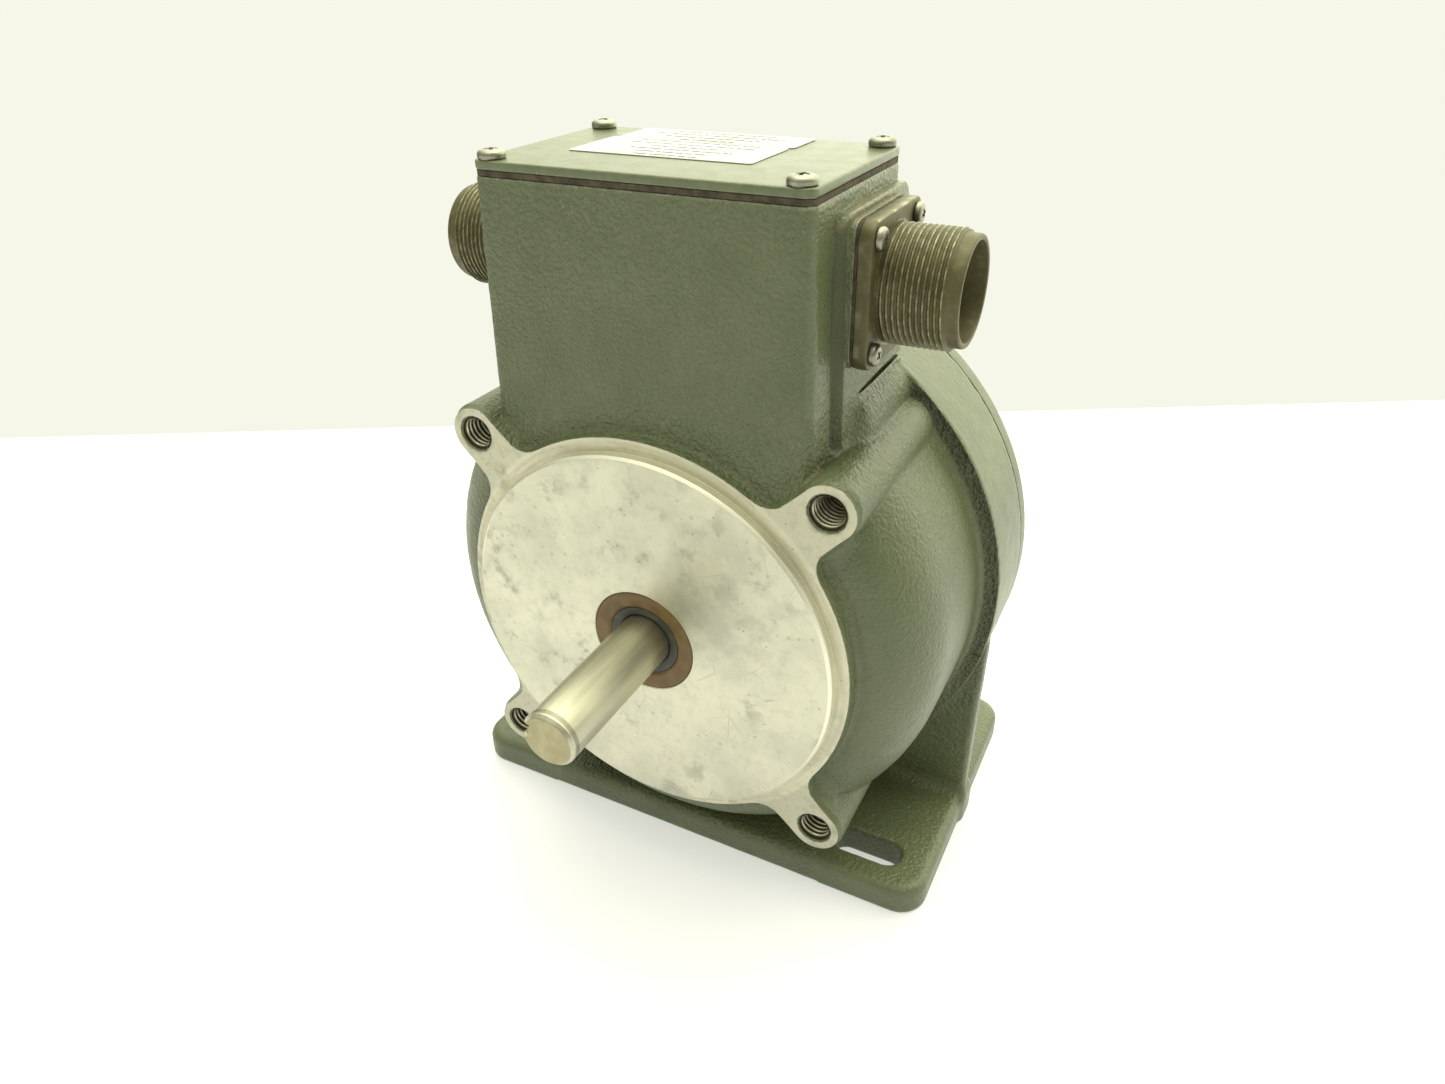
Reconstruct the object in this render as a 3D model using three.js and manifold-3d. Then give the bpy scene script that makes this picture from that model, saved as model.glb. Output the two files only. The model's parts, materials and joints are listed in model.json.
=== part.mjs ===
// Foot-mounted pulse tachometer (shaft encoder) in a cast housing with a 56C motor face.
// Millimetres, +Z up, the shaft points along -Y. Shapes are drawn in machine coordinates:
// y = 0 is the face of the pilot, z = 0 is the shaft axis, and the last group moves them so
// that the origin is the middle of the underside of the whole machine.
import * as THREE from "three";
import { mergeVertices } from "three/addons/utils/BufferGeometryUtils.js";
import Module from "manifold-3d";

const wasm = await Module();
wasm.setup();

// ---- driving dimensions ------------------------------------------------------------------
const SHAFT_HEIGHT = 88.9; // 3.5 in, foot to shaft axis
const SHAFT_R = 7.9375; // 5/8 in shaft
const SHAFT_OUT = 45.8; // shaft end in front of the pilot face
const SHAFT_TAIL = 82; // inner end of the shaft
const KEYWAY_WIDTH = 4.76;
const KEYWAY_DEPTH = 2.4;
const KEYWAY_LENGTH = 35.7;
const KEYWAY_ANGLE = THREE.MathUtils.degToRad(168); // from +X towards +Z

const PILOT_R = 57.15; // 4.5 in pilot
const PILOT_CHAMFER = 0.8;
const FACE_Y = 3.2; // bolting face behind the pilot face
const FACE_R = 61; // raised lip around the bolting face
const DOME_START_R = 63.2;
const DOME_START_Y = 7.6;
const BOLT_CIRCLE_R = 74.6; // 5.875 in bolt circle
const LUG_HALF_WIDTH = 7.6;
const RIB_R = 8.3; // round rib behind each lug
const LUG_HOLE_R = 4.1; // 3/8-16 thread, minor diameter
const LUG_HOLE_DEPTH = 22;

const BELL_R = 79.5;
const BELL_FULL_Y = 32; // the dome reaches its full radius here
const WALL = 7;
const DRUM_R = 85.2;
const DRUM_FRONT = 61.5;
const DRUM_BACK = 88.5;
const DRUM_BORE_R = 75;
const CAVITY_R = 71;
const HUB_R = 27;
const HUB_BACK = 60;
const SHOULDER_FRONT = 31; // cast shoulder between terminal box and upper lug ribs
const SHOULDER_OUTER_X = 57;

const BASE_HALF_WIDTH = 83.6;
const BASE_FRONT = 13.6;
const BASE_BACK = 115;
const BASE_THICKNESS = 10.3;
const BASE_CORNER_R = 9;
const RELIEF_HALF_WIDTH = 50; // the underside is relieved between the feet
const RELIEF_DEPTH = 0.8;
const REAR_GAP_HALF_WIDTH = 46; // the rear feet stand apart behind the drum
const SLOT_X = 62.2;
const SLOT_LENGTH = 22.4;
const SLOT_WIDTH = 9.6;
const SLOT_FRONT_Y = 26.8;
const SLOT_PITCH_Y = 76.2; // 3 in
const PEDESTAL_HALF_WIDTH = 84.3;
const PEDESTAL_THICKNESS = 6;

const BOX_HALF_WIDTH = 45.2;
const BOX_FRONT = 8.1;
const BOX_BACK = 64.6;
const BOX_TOP = 121.45;
const BOX_FOOT = 52; // inside the bell
const BOX_DRAFT = 1.04; // widening from the top to the foot
const BOX_FRONT_DRAFT = 1.4; // how far the front leans out at the foot
const BOX_CORNER_R = 3;
const BOX_FLOOR = 84;
const BOX_WALL = 6.2;
const GASKET_THICKNESS = 1.3;
const LID_THICKNESS = 2.25;
const LID_SCREW_X = 41;
const LID_SCREW_INSET_Y = 3.4;
const LABEL_THICKNESS = 0.2;

const PORT_Y = 39.3; // axis of both connectors
const PORT_Z = 98.4;
const PAD_X = 47.8; // outer face of the cast side pad
const PAD_FRONT = 21.6;
const PAD_BACK = 64.4;
const PAD_TOP = 117.4;
const SEAT_X = 49.4; // machined seat under the connector
const FLANGE_SIDE = 34.93; // size 18 shell
const FLANGE_THICKNESS = 3.4;
const FLANGE_HOLE_PITCH = 26.97;
const BARREL_R = 14.29; // 1-1/8 in thread
const PORT_HOLE_R = 13.1; // hole in the box wall behind a connector
const BARREL_BORE_R = 11.7;
const LEAD_R = 13.2; // plain lead in front of the thread
const BARREL_LENGTH = 19.4;
const LEAD_LENGTH = 3.2;
const PORT_BODY_R = 12.7; // back shell behind the flange
const PIN_COUNT = 10;

const SEAL_BORE_R = 16;
const SEAL_CASE_BORE_R = 10.9;
const SEAL_DEPTH = 7;
const BEARING_BORE_R = 8.5; // 6203 bearing: 17 x 40 x 12
const BEARING_R = 19.9;
const BEARING_WIDTH = 12;
const BALL_R = 3.375;
const BALL_PITCH_R = 14.25;
const BALL_COUNT = 8;
const FRONT_BEARING_Y = 9.2;
const REAR_BEARING_Y = 45;
const SHAFT_COLLAR_R = 10.6; // between the bearings
const RING_GROOVE_R = 7.9;
const RING_GROOVE = [57.2, 58.5]; // front and back of the groove
const SHAFT_TAIL_R = 7.5; // carries the wheel hub
const COVER_BACK = 96.3;
const COVER_SCREW_R = 80;
const COVER_SCREW_COUNT = 6;
const COVER_SCREW_SHANK_R = 1.95;
const COVER_SCREW_DEPTH = 11;
const LID_SCREW_R = 1.5;
const LID_SCREW_DEPTH = 8;
const PORT_SCREW_R = 1.2;
const PORT_SCREW_DEPTH = 7.4;
const SENSOR_SCREW_R = 1.15;
const CLEARANCE = 0.15; // radius of a screw hole over its screw

const WHEEL_R = 58;
const TOOTH_DEPTH = 2.6;
const WHEEL_BORE_R = SHAFT_TAIL_R + 0.15;
const WHEEL_HUB_BACK = 81.5;
const HUB_SCREW_Y = 79;
const SENSOR_SCREW_CIRCLE_R = 66.5;
const WHEEL_TEETH = 24;
const WHEEL_FRONT = 66;
const WHEEL_BACK = 74;
const SENSOR_ANGLES = { right: 60, left: 120 }; // degrees from +X
const BOARD_X = 24; // standoffs of the terminal board
const BOARD_Y = 36;
const BOARD_Z = 92;

const GAP = 0.05; // between pieces that touch
const ROUND_TINY = 8; // facets of screws and their holes
const ROUND = 14; // facets of small round pieces
const ROUND_FINE = 20; // facets of bearings, connectors and the shaft
const ROUND_BIG = 40; // facets of the bell, drum and cover

// ---- finishes ----------------------------------------------------------------------------
const finish = (color, roughness, metalness) =>
  new THREE.MeshStandardMaterial({ color, roughness, metalness });
const PAINT = finish(0x6f7a60, 0.45, 0.1);
const STEEL = finish(0xb9b6a4, 0.32, 1);
const ZINC = finish(0xc9cdc6, 0.28, 1);
const OLIVE_PLATE = finish(0x6b6349, 0.5, 0.8);
const RUBBER = finish(0x26241f, 0.75, 0);
const SEAL_CASE = finish(0x7c5c38, 0.55, 0.5);
const PAPER = finish(0xf2f3ea, 0.6, 0);
const BOARD = finish(0x2f5a36, 0.5, 0);
const RESIN = finish(0x2b2b2b, 0.5, 0);
const ALUMINIUM = finish(0xd0d0c0, 0.4, 1);
const BRASS = finish(0xb5954a, 0.4, 1);
const WIRE = finish(0x4a4a48, 0.6, 0);

// ---- solids ------------------------------------------------------------------------------
// A closed three.js geometry as a manifold solid, with its faces turned outwards.
function solid(geometry) {
  geometry.deleteAttribute("normal");
  geometry.deleteAttribute("uv");
  const merged = mergeVertices(geometry, 1e-3);
  const points = merged.attributes.position.array;
  const corners = [];
  let volume = 0;
  const a = new THREE.Vector3();
  const b = new THREE.Vector3();
  const c = new THREE.Vector3();
  for (let i = 0; i < merged.index.count; i += 3) {
    const [p, q, r] = merged.index.array.slice(i, i + 3);
    if (p === q || q === r || r === p) continue;
    corners.push(p, q, r);
    a.fromArray(points, 3 * p);
    b.fromArray(points, 3 * q);
    c.fromArray(points, 3 * r);
    volume += a.dot(b.cross(c));
  }
  if (volume < 0) corners.reverse();
  const vertProperties = Float32Array.from(points);
  const triVerts = Uint32Array.from(corners);
  return new wasm.Manifold(new wasm.Mesh({ numProp: 3, vertProperties, triVerts }));
}

function geometryOf(manifold) {
  const mesh = manifold.getMesh();
  const geometry = new THREE.BufferGeometry();
  geometry.setAttribute("position", new THREE.BufferAttribute(mesh.vertProperties, 3));
  geometry.setIndex(new THREE.BufferAttribute(mesh.triVerts, 1));
  return geometry;
}

const join = (first, ...others) => others.reduce((whole, next) => whole.add(next), first);
const cut = (body, ...tools) => tools.reduce((rest, tool) => rest.subtract(tool), body);

// Turned about the Y axis: the profile is a list of [radius, y].
function turnedY(profile, facets = ROUND, x = 0, z = 0) {
  const points = profile.map(([r, y]) => new THREE.Vector2(r, y));
  return solid(new THREE.LatheGeometry(points, facets).translate(x, 0, z));
}

// Turned about the X axis: the profile is a list of [radius, x].
function turnedX(profile, facets = ROUND, y = 0, z = 0) {
  const points = profile.map(([r, x]) => new THREE.Vector2(r, x));
  return solid(new THREE.LatheGeometry(points, facets).rotateZ(-Math.PI / 2).translate(0, y, z));
}

// Turned about a vertical axis through (x, y): the profile is a list of [radius, z].
function turnedZ(profile, facets = ROUND, x = 0, y = 0) {
  const points = profile.map(([r, z]) => new THREE.Vector2(r, z));
  return solid(new THREE.LatheGeometry(points, facets).rotateX(Math.PI / 2).translate(x, y, 0));
}

const rodProfile = (r, from, to) => [[0, from], [r, from], [r, to], [0, to]];
const tubeProfile = (inner, outer, from, to) =>
  [[inner, from], [outer, from], [outer, to], [inner, to], [inner, from]];

const extrude = (shape, depth) =>
  new THREE.ExtrudeGeometry(shape, { depth, bevelEnabled: false, curveSegments: 4 });
const prismZ = (shape, from, to) => solid(extrude(shape, to - from).translate(0, 0, from));

// The shape is drawn in (x, z) and runs from y = from to y = to.
const prismY = (shape, from, to) =>
  solid(extrude(shape, to - from).rotateX(Math.PI / 2).translate(0, to, 0));

// The shape is drawn in (y, z) and runs from x = from to x = to.
function prismX(shape, from, to) {
  const turn = new THREE.Matrix4().makeBasis(
    new THREE.Vector3(0, 1, 0), new THREE.Vector3(0, 0, 1), new THREE.Vector3(1, 0, 0));
  return solid(extrude(shape, to - from).applyMatrix4(turn).translate(from, 0, 0));
}

function block(low, high) {
  const size = high.map((value, axis) => value - low[axis]);
  const middle = high.map((value, axis) => (value + low[axis]) / 2);
  return solid(new THREE.BoxGeometry(...size).translate(...middle));
}

function roundedRectangle(x0, y0, x1, y1, r) {
  const shape = new THREE.Shape();
  shape.moveTo(x0 + r, y0);
  shape.lineTo(x1 - r, y0);
  shape.absarc(x1 - r, y0 + r, r, -Math.PI / 2, 0, false);
  shape.lineTo(x1, y1 - r);
  shape.absarc(x1 - r, y1 - r, r, 0, Math.PI / 2, false);
  shape.lineTo(x0 + r, y1);
  shape.absarc(x0 + r, y1 - r, r, Math.PI / 2, Math.PI, false);
  shape.lineTo(x0, y0 + r);
  shape.absarc(x0 + r, y0 + r, r, Math.PI, 1.5 * Math.PI, false);
  return shape;
}

const polygon = (corners) => new THREE.Shape(corners.map(([x, y]) => new THREE.Vector2(x, y)));

// Points of a quarter ellipse from (r0, y0), heading outwards, to (r1, y1), heading back.
function dome(r0, y0, r1, y1, steps) {
  const points = [];
  for (let i = 0; i <= steps; i += 1) {
    const angle = (i / steps) * (Math.PI / 2);
    points.push([r0 + (r1 - r0) * Math.sin(angle), y1 - (y1 - y0) * Math.cos(angle)]);
  }
  return points;
}

const bothSides = (make) => join(make(1), make(-1));
const rising = (a, b) => a - b;
const span = (side, from, to) => [side * from, side * to].sort(rising);
const corners = [[1, 1], [-1, 1], [-1, -1], [1, -1]];

// Profile of a pan-head screw from its tip to the top of its head, which stands GAP off the seat.
function panScrewProfile(seat, tip, headR, headHeight, shankR) {
  const way = Math.sign(seat - tip);
  return [[0, tip], [shankR, tip], [shankR, seat + way * GAP], [headR, seat + way * GAP],
    [headR, seat + way * headHeight * 0.55], [headR * 0.72, seat + way * headHeight],
    [0, seat + way * headHeight]];
}

// ---- housing -----------------------------------------------------------------------------
function bellAndDrum() {
  return turnedY([
    [0, 0], [PILOT_R - PILOT_CHAMFER, 0], [PILOT_R, PILOT_CHAMFER], [PILOT_R, FACE_Y],
    [FACE_R, FACE_Y], [FACE_R + 0.8, DOME_START_Y - 1],
    ...dome(DOME_START_R, DOME_START_Y, BELL_R, BELL_FULL_Y, 6),
    [BELL_R, 54], [BELL_R + 1, 58.4], [BELL_R + 3, 60.8], [DRUM_R - 0.7, DRUM_FRONT],
    [DRUM_R, DRUM_FRONT + 0.7], [DRUM_R, DRUM_BACK], [0, DRUM_BACK],
  ], ROUND_BIG);
}

function foot() {
  const bottom = -SHAFT_HEIGHT;
  const top = bottom + BASE_THICKNESS;
  const outline = roundedRectangle(
    -BASE_HALF_WIDTH, BASE_FRONT, BASE_HALF_WIDTH, BASE_BACK, BASE_CORNER_R);
  const plate = prismZ(outline, bottom, top);
  const pedestal = prismY(polygon([
    [-PEDESTAL_HALF_WIDTH + 1, bottom + 2], [PEDESTAL_HALF_WIDTH - 1, bottom + 2],
    [PEDESTAL_HALF_WIDTH, 0], [-PEDESTAL_HALF_WIDTH, 0],
  ]), DRUM_FRONT, DRUM_FRONT + PEDESTAL_THICKNESS);
  const relief = block([-RELIEF_HALF_WIDTH, BASE_FRONT - 1, bottom - 1],
    [RELIEF_HALF_WIDTH, BASE_BACK + 1, bottom + RELIEF_DEPTH]);
  const rearGap = prismZ(roundedRectangle(
    -REAR_GAP_HALF_WIDTH, DRUM_BACK - 0.3, REAR_GAP_HALF_WIDTH, BASE_BACK + 20, 8),
  bottom - 1, top + 1);
  const slots = [];
  for (const side of [1, -1]) {
    for (const y of [SLOT_FRONT_Y, SLOT_FRONT_Y + SLOT_PITCH_Y]) {
      const x = side * SLOT_X;
      const outlineOfSlot = roundedRectangle(x - SLOT_LENGTH / 2, y - SLOT_WIDTH / 2,
        x + SLOT_LENGTH / 2, y + SLOT_WIDTH / 2, SLOT_WIDTH / 2 - 0.01);
      slots.push(prismZ(outlineOfSlot, bottom - 1, top + 1));
    }
  }
  return join(cut(plate, relief, rearGap, ...slots), pedestal);
}

function lug(xSide, zSide) {
  const along = new THREE.Vector2(xSide, zSide).normalize();
  const angle = Math.atan2(along.y, along.x);
  const strap = (halfWidth, from, to) => {
    const shape = new THREE.Shape();
    shape.moveTo(0, -halfWidth);
    shape.lineTo(BOLT_CIRCLE_R, -halfWidth);
    shape.absarc(BOLT_CIRCLE_R, 0, halfWidth, -Math.PI / 2, Math.PI / 2, false);
    shape.lineTo(0, halfWidth);
    const turned = extrude(shape, to - from).rotateZ(angle).rotateX(Math.PI / 2);
    return solid(turned.translate(0, to, 0));
  };
  return join(strap(LUG_HALF_WIDTH, FACE_Y, FACE_Y + 2),
    strap(RIB_R, FACE_Y + 1, DRUM_FRONT + 1));
}

function terminalBox() {
  const outline = roundedRectangle(
    -BOX_HALF_WIDTH, BOX_FRONT, BOX_HALF_WIDTH, BOX_BACK, BOX_CORNER_R);
  const body = extrude(outline, BOX_TOP - BOX_FOOT).translate(0, 0, BOX_FOOT);
  const points = body.attributes.position;
  for (let i = 0; i < points.count; i += 1) {
    const down = (BOX_TOP - points.getZ(i)) / (BOX_TOP - BOX_FOOT);
    points.setX(i, points.getX(i) * (1 + (BOX_DRAFT - 1) * down));
    const nearFront = (BOX_BACK - points.getY(i)) / (BOX_BACK - BOX_FRONT);
    points.setY(i, points.getY(i) - BOX_FRONT_DRAFT * down * nearFront);
  }
  const padOutline = new THREE.Shape();
  padOutline.moveTo(PAD_FRONT, BOX_FOOT);
  padOutline.lineTo(PAD_BACK, BOX_FOOT);
  padOutline.lineTo(PAD_BACK, PAD_TOP - 6);
  padOutline.absarc(PAD_BACK - 6, PAD_TOP - 6, 6, 0, Math.PI / 2, false);
  padOutline.lineTo(PAD_FRONT + 3, PAD_TOP);
  padOutline.absarc(PAD_FRONT + 3, PAD_TOP - 3, 3, Math.PI / 2, Math.PI, false);
  const pads = bothSides((side) => prismX(padOutline, ...span(side, 30, PAD_X)));
  const wedges = bothSides((side) => prismZ(polygon([
    [side * 30, PAD_FRONT - 3.2], [side * BOX_HALF_WIDTH, PAD_FRONT - 3.2],
    [side * PAD_X, PAD_FRONT], [side * PAD_X, PAD_FRONT + 4], [side * 30, PAD_FRONT + 4],
  ]), BOX_FOOT, PAD_TOP - 3));
  const half = FLANGE_SIDE / 2;
  const seatOutline = roundedRectangle(
    PORT_Y - half, PORT_Z - half, PORT_Y + half, PORT_Z + half, 4);
  const seats = bothSides((side) =>
    prismX(seatOutline, ...span(side, 40, SEAT_X)));
  return join(solid(body), pads, wedges, seats);
}

// Cast shoulders that carry the drum's outline forward beside the terminal box.
function shoulders() {
  const round = turnedY([[0, 20], [77.5, 20], [DRUM_R, SHOULDER_FRONT],
    [DRUM_R, DRUM_FRONT + 1], [0, DRUM_FRONT + 1]], ROUND_BIG);
  const reach = bothSides((side) => prismY(polygon([
    [side * 30, 40], [side * (SHOULDER_OUTER_X - 6), 40], [side * SHOULDER_OUTER_X, 90],
    [side * 30, 90],
  ]), 10, 70));
  return round.intersect(reach);
}

function housingCavities() {
  const inside = turnedY([
    [0, HUB_BACK], [HUB_R, HUB_BACK], [HUB_R, 12], [FACE_R - WALL, 12],
    ...dome(FACE_R - WALL, 12, CAVITY_R, BELL_FULL_Y + 4, 3),
    [CAVITY_R, HUB_BACK], [DRUM_BORE_R, HUB_BACK], [DRUM_BORE_R, DRUM_BACK + 2], [0, DRUM_BACK + 2],
  ], ROUND_BIG);
  const bore = turnedY([
    [0, -1], [SEAL_BORE_R, -1], [SEAL_BORE_R, SEAL_DEPTH], [13, SEAL_DEPTH],
    [13, FRONT_BEARING_Y - 0.1], [BEARING_R + 0.1, FRONT_BEARING_Y - 0.1],
    [BEARING_R + 0.1, HUB_BACK + 1], [0, HUB_BACK + 1],
  ], ROUND_BIG);
  const boxInside = prismZ(roundedRectangle(
    -BOX_HALF_WIDTH + BOX_WALL, BOX_FRONT + BOX_WALL, BOX_HALF_WIDTH - BOX_WALL,
    BOX_BACK - BOX_WALL, 5), BOX_FLOOR, BOX_TOP + 1);
  const wireWay = turnedZ(rodProfile(9, 66, BOX_FLOOR + 1), ROUND, 0, 45);
  const ports = turnedX(rodProfile(PORT_HOLE_R, -SEAT_X - 2, SEAT_X + 2), ROUND, PORT_Y, PORT_Z);
  return [inside, bore, boxInside, wireWay, ports];
}

function tappedHoles() {
  const holes = [];
  const lugOffset = BOLT_CIRCLE_R / Math.SQRT2;
  for (const [xSide, zSide] of corners) {
    holes.push(turnedY([[0, FACE_Y - 1], [LUG_HOLE_R + 0.9, FACE_Y - 1],
      [LUG_HOLE_R + 0.7, FACE_Y], [LUG_HOLE_R, FACE_Y + 0.7],
      [LUG_HOLE_R, FACE_Y + LUG_HOLE_DEPTH], [0, FACE_Y + LUG_HOLE_DEPTH + 2]],
    ROUND, xSide * lugOffset, zSide * lugOffset));
  }
  for (const [x, y] of lidScrewPlaces()) {
    const depth = [BOX_TOP - LID_SCREW_DEPTH - 3, BOX_TOP + 1];
    holes.push(turnedZ(rodProfile(LID_SCREW_R + CLEARANCE, ...depth), ROUND_TINY, x, y));
  }
  for (const [x, z] of coverScrewPlaces()) {
    const depth = [DRUM_BACK - COVER_SCREW_DEPTH - 3, DRUM_BACK + 1];
    holes.push(turnedY(rodProfile(COVER_SCREW_SHANK_R + CLEARANCE, ...depth), ROUND_TINY, x, z));
  }
  for (const side of [1, -1]) {
    const depth = [BOX_FLOOR - 6, BOX_FLOOR + 1];
    holes.push(turnedZ(rodProfile(1.25, ...depth), ROUND_TINY, side * BOARD_X, BOARD_Y));
  }
  for (const [dy, dz] of corners) {
    const y = PORT_Y + (dy * FLANGE_HOLE_PITCH) / 2;
    const z = PORT_Z + (dz * FLANGE_HOLE_PITCH) / 2;
    for (const side of [1, -1]) {
      const depth = span(side, SEAT_X - PORT_SCREW_DEPTH, SEAT_X + 1);
      holes.push(turnedX(rodProfile(PORT_SCREW_R + CLEARANCE, ...depth), ROUND_TINY, y, z));
    }
  }
  return holes;
}

function lidScrewPlaces() {
  const middle = (BOX_FRONT + BOX_BACK) / 2;
  const reach = (BOX_BACK - BOX_FRONT) / 2 - LID_SCREW_INSET_Y;
  return corners.map(([xSide, ySide]) => [xSide * LID_SCREW_X, middle + ySide * reach]);
}

function coverScrewPlaces() {
  const places = [];
  for (let i = 0; i < COVER_SCREW_COUNT; i += 1) {
    const angle = ((i + 0.5) / COVER_SCREW_COUNT) * 2 * Math.PI;
    places.push([COVER_SCREW_R * Math.cos(angle), COVER_SCREW_R * Math.sin(angle)]);
  }
  return places;
}

function housing() {
  const casting = join(bellAndDrum(), foot(), terminalBox(), shoulders(),
    ...corners.map(([xSide, zSide]) => lug(xSide, zSide)));
  return cut(casting, ...housingCavities(), ...tappedHoles());
}

// ---- shaft train -------------------------------------------------------------------------
function shaft() {
  const body = turnedY([
    [0, -SHAFT_OUT], [SHAFT_R - 1, -SHAFT_OUT], [SHAFT_R, -SHAFT_OUT + 1],
    [SHAFT_R, FRONT_BEARING_Y - 1], [BEARING_BORE_R, FRONT_BEARING_Y - 0.6],
    [BEARING_BORE_R, FRONT_BEARING_Y + BEARING_WIDTH + GAP],
    [SHAFT_COLLAR_R, FRONT_BEARING_Y + BEARING_WIDTH + 0.2],
    [SHAFT_COLLAR_R, REAR_BEARING_Y - 0.2], [BEARING_BORE_R, REAR_BEARING_Y - GAP],
    [BEARING_BORE_R, RING_GROOVE[0]], [RING_GROOVE_R, RING_GROOVE[0]],
    [RING_GROOVE_R, RING_GROOVE[1]], [BEARING_BORE_R, RING_GROOVE[1]],
    [BEARING_BORE_R, HUB_BACK], [SHAFT_TAIL_R, HUB_BACK + 0.4],
    [SHAFT_TAIL_R, SHAFT_TAIL - 0.6], [SHAFT_TAIL_R - 0.6, SHAFT_TAIL], [0, SHAFT_TAIL],
  ], ROUND_FINE);
  const keyway = solid(new THREE.BoxGeometry(KEYWAY_DEPTH * 2, KEYWAY_LENGTH + 2, KEYWAY_WIDTH)
    .translate(SHAFT_R, -SHAFT_OUT - 1 + KEYWAY_LENGTH / 2, 0).rotateY(-KEYWAY_ANGLE));
  return cut(body, keyway);
}

// Outer race, inner race and ball cage of a deep-groove bearing whose front face is at y.
function bearing(y) {
  const middle = y + BEARING_WIDTH / 2;
  const groove = (r, outwards) => [-1, -0.5, 0, 0.5, 1].map((t) => {
    const depth = Math.sqrt(1 - (t * 0.86) ** 2) * 3.62;
    return [r + outwards * depth, middle + t * 0.86 * 3.62];
  });
  const outer = turnedY([
    [BEARING_R, y], [BEARING_R, y + BEARING_WIDTH], [16.6, y + BEARING_WIDTH],
    ...groove(BALL_PITCH_R, 1).reverse(), [16.6, y], [BEARING_R, y],
  ], ROUND_FINE);
  const inner = turnedY([
    [BEARING_BORE_R + 0.12, y], [11.9, y], ...groove(BALL_PITCH_R, -1),
    [11.9, y + BEARING_WIDTH], [BEARING_BORE_R + 0.12, y + BEARING_WIDTH],
    [BEARING_BORE_R + 0.12, y],
  ], ROUND_FINE);
  const balls = [];
  for (let i = 0; i < BALL_COUNT; i += 1) {
    const angle = (i / BALL_COUNT) * 2 * Math.PI;
    balls.push(solid(new THREE.SphereGeometry(BALL_R, 7, 4).translate(
      BALL_PITCH_R * Math.cos(angle), middle, BALL_PITCH_R * Math.sin(angle))));
  }
  const ring = turnedY(tubeProfile(13.3, 15.2, middle - 2.2, middle + 2.2), ROUND);
  return { outer, inner, cage: join(ring, ...balls) };
}

function retainingRing(inner, outer, y, gapAngle, lugOutside) {
  const ring = turnedY(tubeProfile(inner, outer, y, y + 1), ROUND_FINE);
  const gap = solid(new THREE.BoxGeometry(outer * 2, 4, 5).translate(outer, y, 0)
    .rotateY(-gapAngle));
  const ears = [-1, 1].map((side) => {
    const r = lugOutside ? outer + 0.6 : inner - 0.6;
    const angle = gapAngle + (side * 4.4) / r;
    return turnedY(rodProfile(1.5, y, y + 1), ROUND_TINY, r * Math.cos(angle), r * Math.sin(angle));
  });
  return join(cut(ring, gap), ...ears);
}

// A ring that bows between two planes, three times round.
function waveSpring(inner, outer, from, to, waves) {
  const thickness = 0.35;
  const steps = 30;
  const positions = [];
  const index = [];
  for (let i = 0; i < steps; i += 1) {
    const angle = (i / steps) * 2 * Math.PI;
    const y = from + (to - from - thickness) * (0.5 + 0.5 * Math.cos(waves * angle));
    for (const [r, dy] of [[inner, 0], [outer, 0], [outer, thickness], [inner, thickness]]) {
      positions.push(r * Math.cos(angle), y + dy, r * Math.sin(angle));
    }
    for (let side = 0; side < 4; side += 1) {
      const here = 4 * i + side;
      const nextSide = 4 * i + ((side + 1) % 4);
      const there = 4 * ((i + 1) % steps) + side;
      const thereNext = 4 * ((i + 1) % steps) + ((side + 1) % 4);
      index.push(here, nextSide, there, nextSide, thereNext, there);
    }
  }
  const geometry = new THREE.BufferGeometry();
  geometry.setAttribute("position", new THREE.Float32BufferAttribute(positions, 3));
  geometry.setIndex(index);
  return solid(geometry);
}

function pulseWheel() {
  const outline = new THREE.Shape();
  for (let i = 0; i < WHEEL_TEETH; i += 1) {
    for (const [part, r] of [[0.04, WHEEL_R], [0.46, WHEEL_R],
      [0.54, WHEEL_R - TOOTH_DEPTH], [0.96, WHEEL_R - TOOTH_DEPTH]]) {
      const angle = ((i + part) / WHEEL_TEETH) * 2 * Math.PI;
      const point = [r * Math.cos(angle), r * Math.sin(angle)];
      if (i === 0 && part === 0.04) outline.moveTo(...point);
      else outline.lineTo(...point);
    }
  }
  const disc = prismY(outline, WHEEL_FRONT, WHEEL_BACK);
  const dish = turnedY(tubeProfile(20, 50, WHEEL_FRONT - 2, WHEEL_FRONT + 1.5), ROUND_FINE);
  const backDish = turnedY(tubeProfile(20, 50, WHEEL_BACK - 1.5, WHEEL_BACK + 2), ROUND_FINE);
  return cut(disc, dish, backDish, turnedY(rodProfile(WHEEL_BORE_R, 60, 80), ROUND_FINE));
}

function wheelHub() {
  const front = WHEEL_BACK + 0.1;
  const body = turnedY([[WHEEL_BORE_R, front], [19, front], [19, front + 1.9], [14, front + 2.9],
    [14, WHEEL_HUB_BACK], [WHEEL_BORE_R, WHEEL_HUB_BACK], [WHEEL_BORE_R, front]], ROUND_FINE);
  const screwHole = turnedX(rodProfile(1.9, 6, 20), ROUND_TINY, HUB_SCREW_Y, 0);
  return cut(body, screwHole);
}

// ---- sensors and wiring ------------------------------------------------------------------
function sensorPlate() {
  const plate = turnedY(tubeProfile(30, DRUM_BORE_R - 0.4, HUB_BACK + GAP, 62), ROUND_FINE);
  const notch = block([-13, 55, 50], [13, 66, 80]);
  const lower = block([-45, 55, -80], [45, 66, -34]);
  const screws = Object.values(SENSOR_ANGLES).flatMap((degrees) => sensorScrewPlaces(degrees));
  const holes = screws.map(([x, z]) =>
    turnedY(rodProfile(SENSOR_SCREW_R + CLEARANCE, 55, 66), ROUND_TINY, x, z));
  return cut(plate, notch, lower, ...holes);
}

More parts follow.
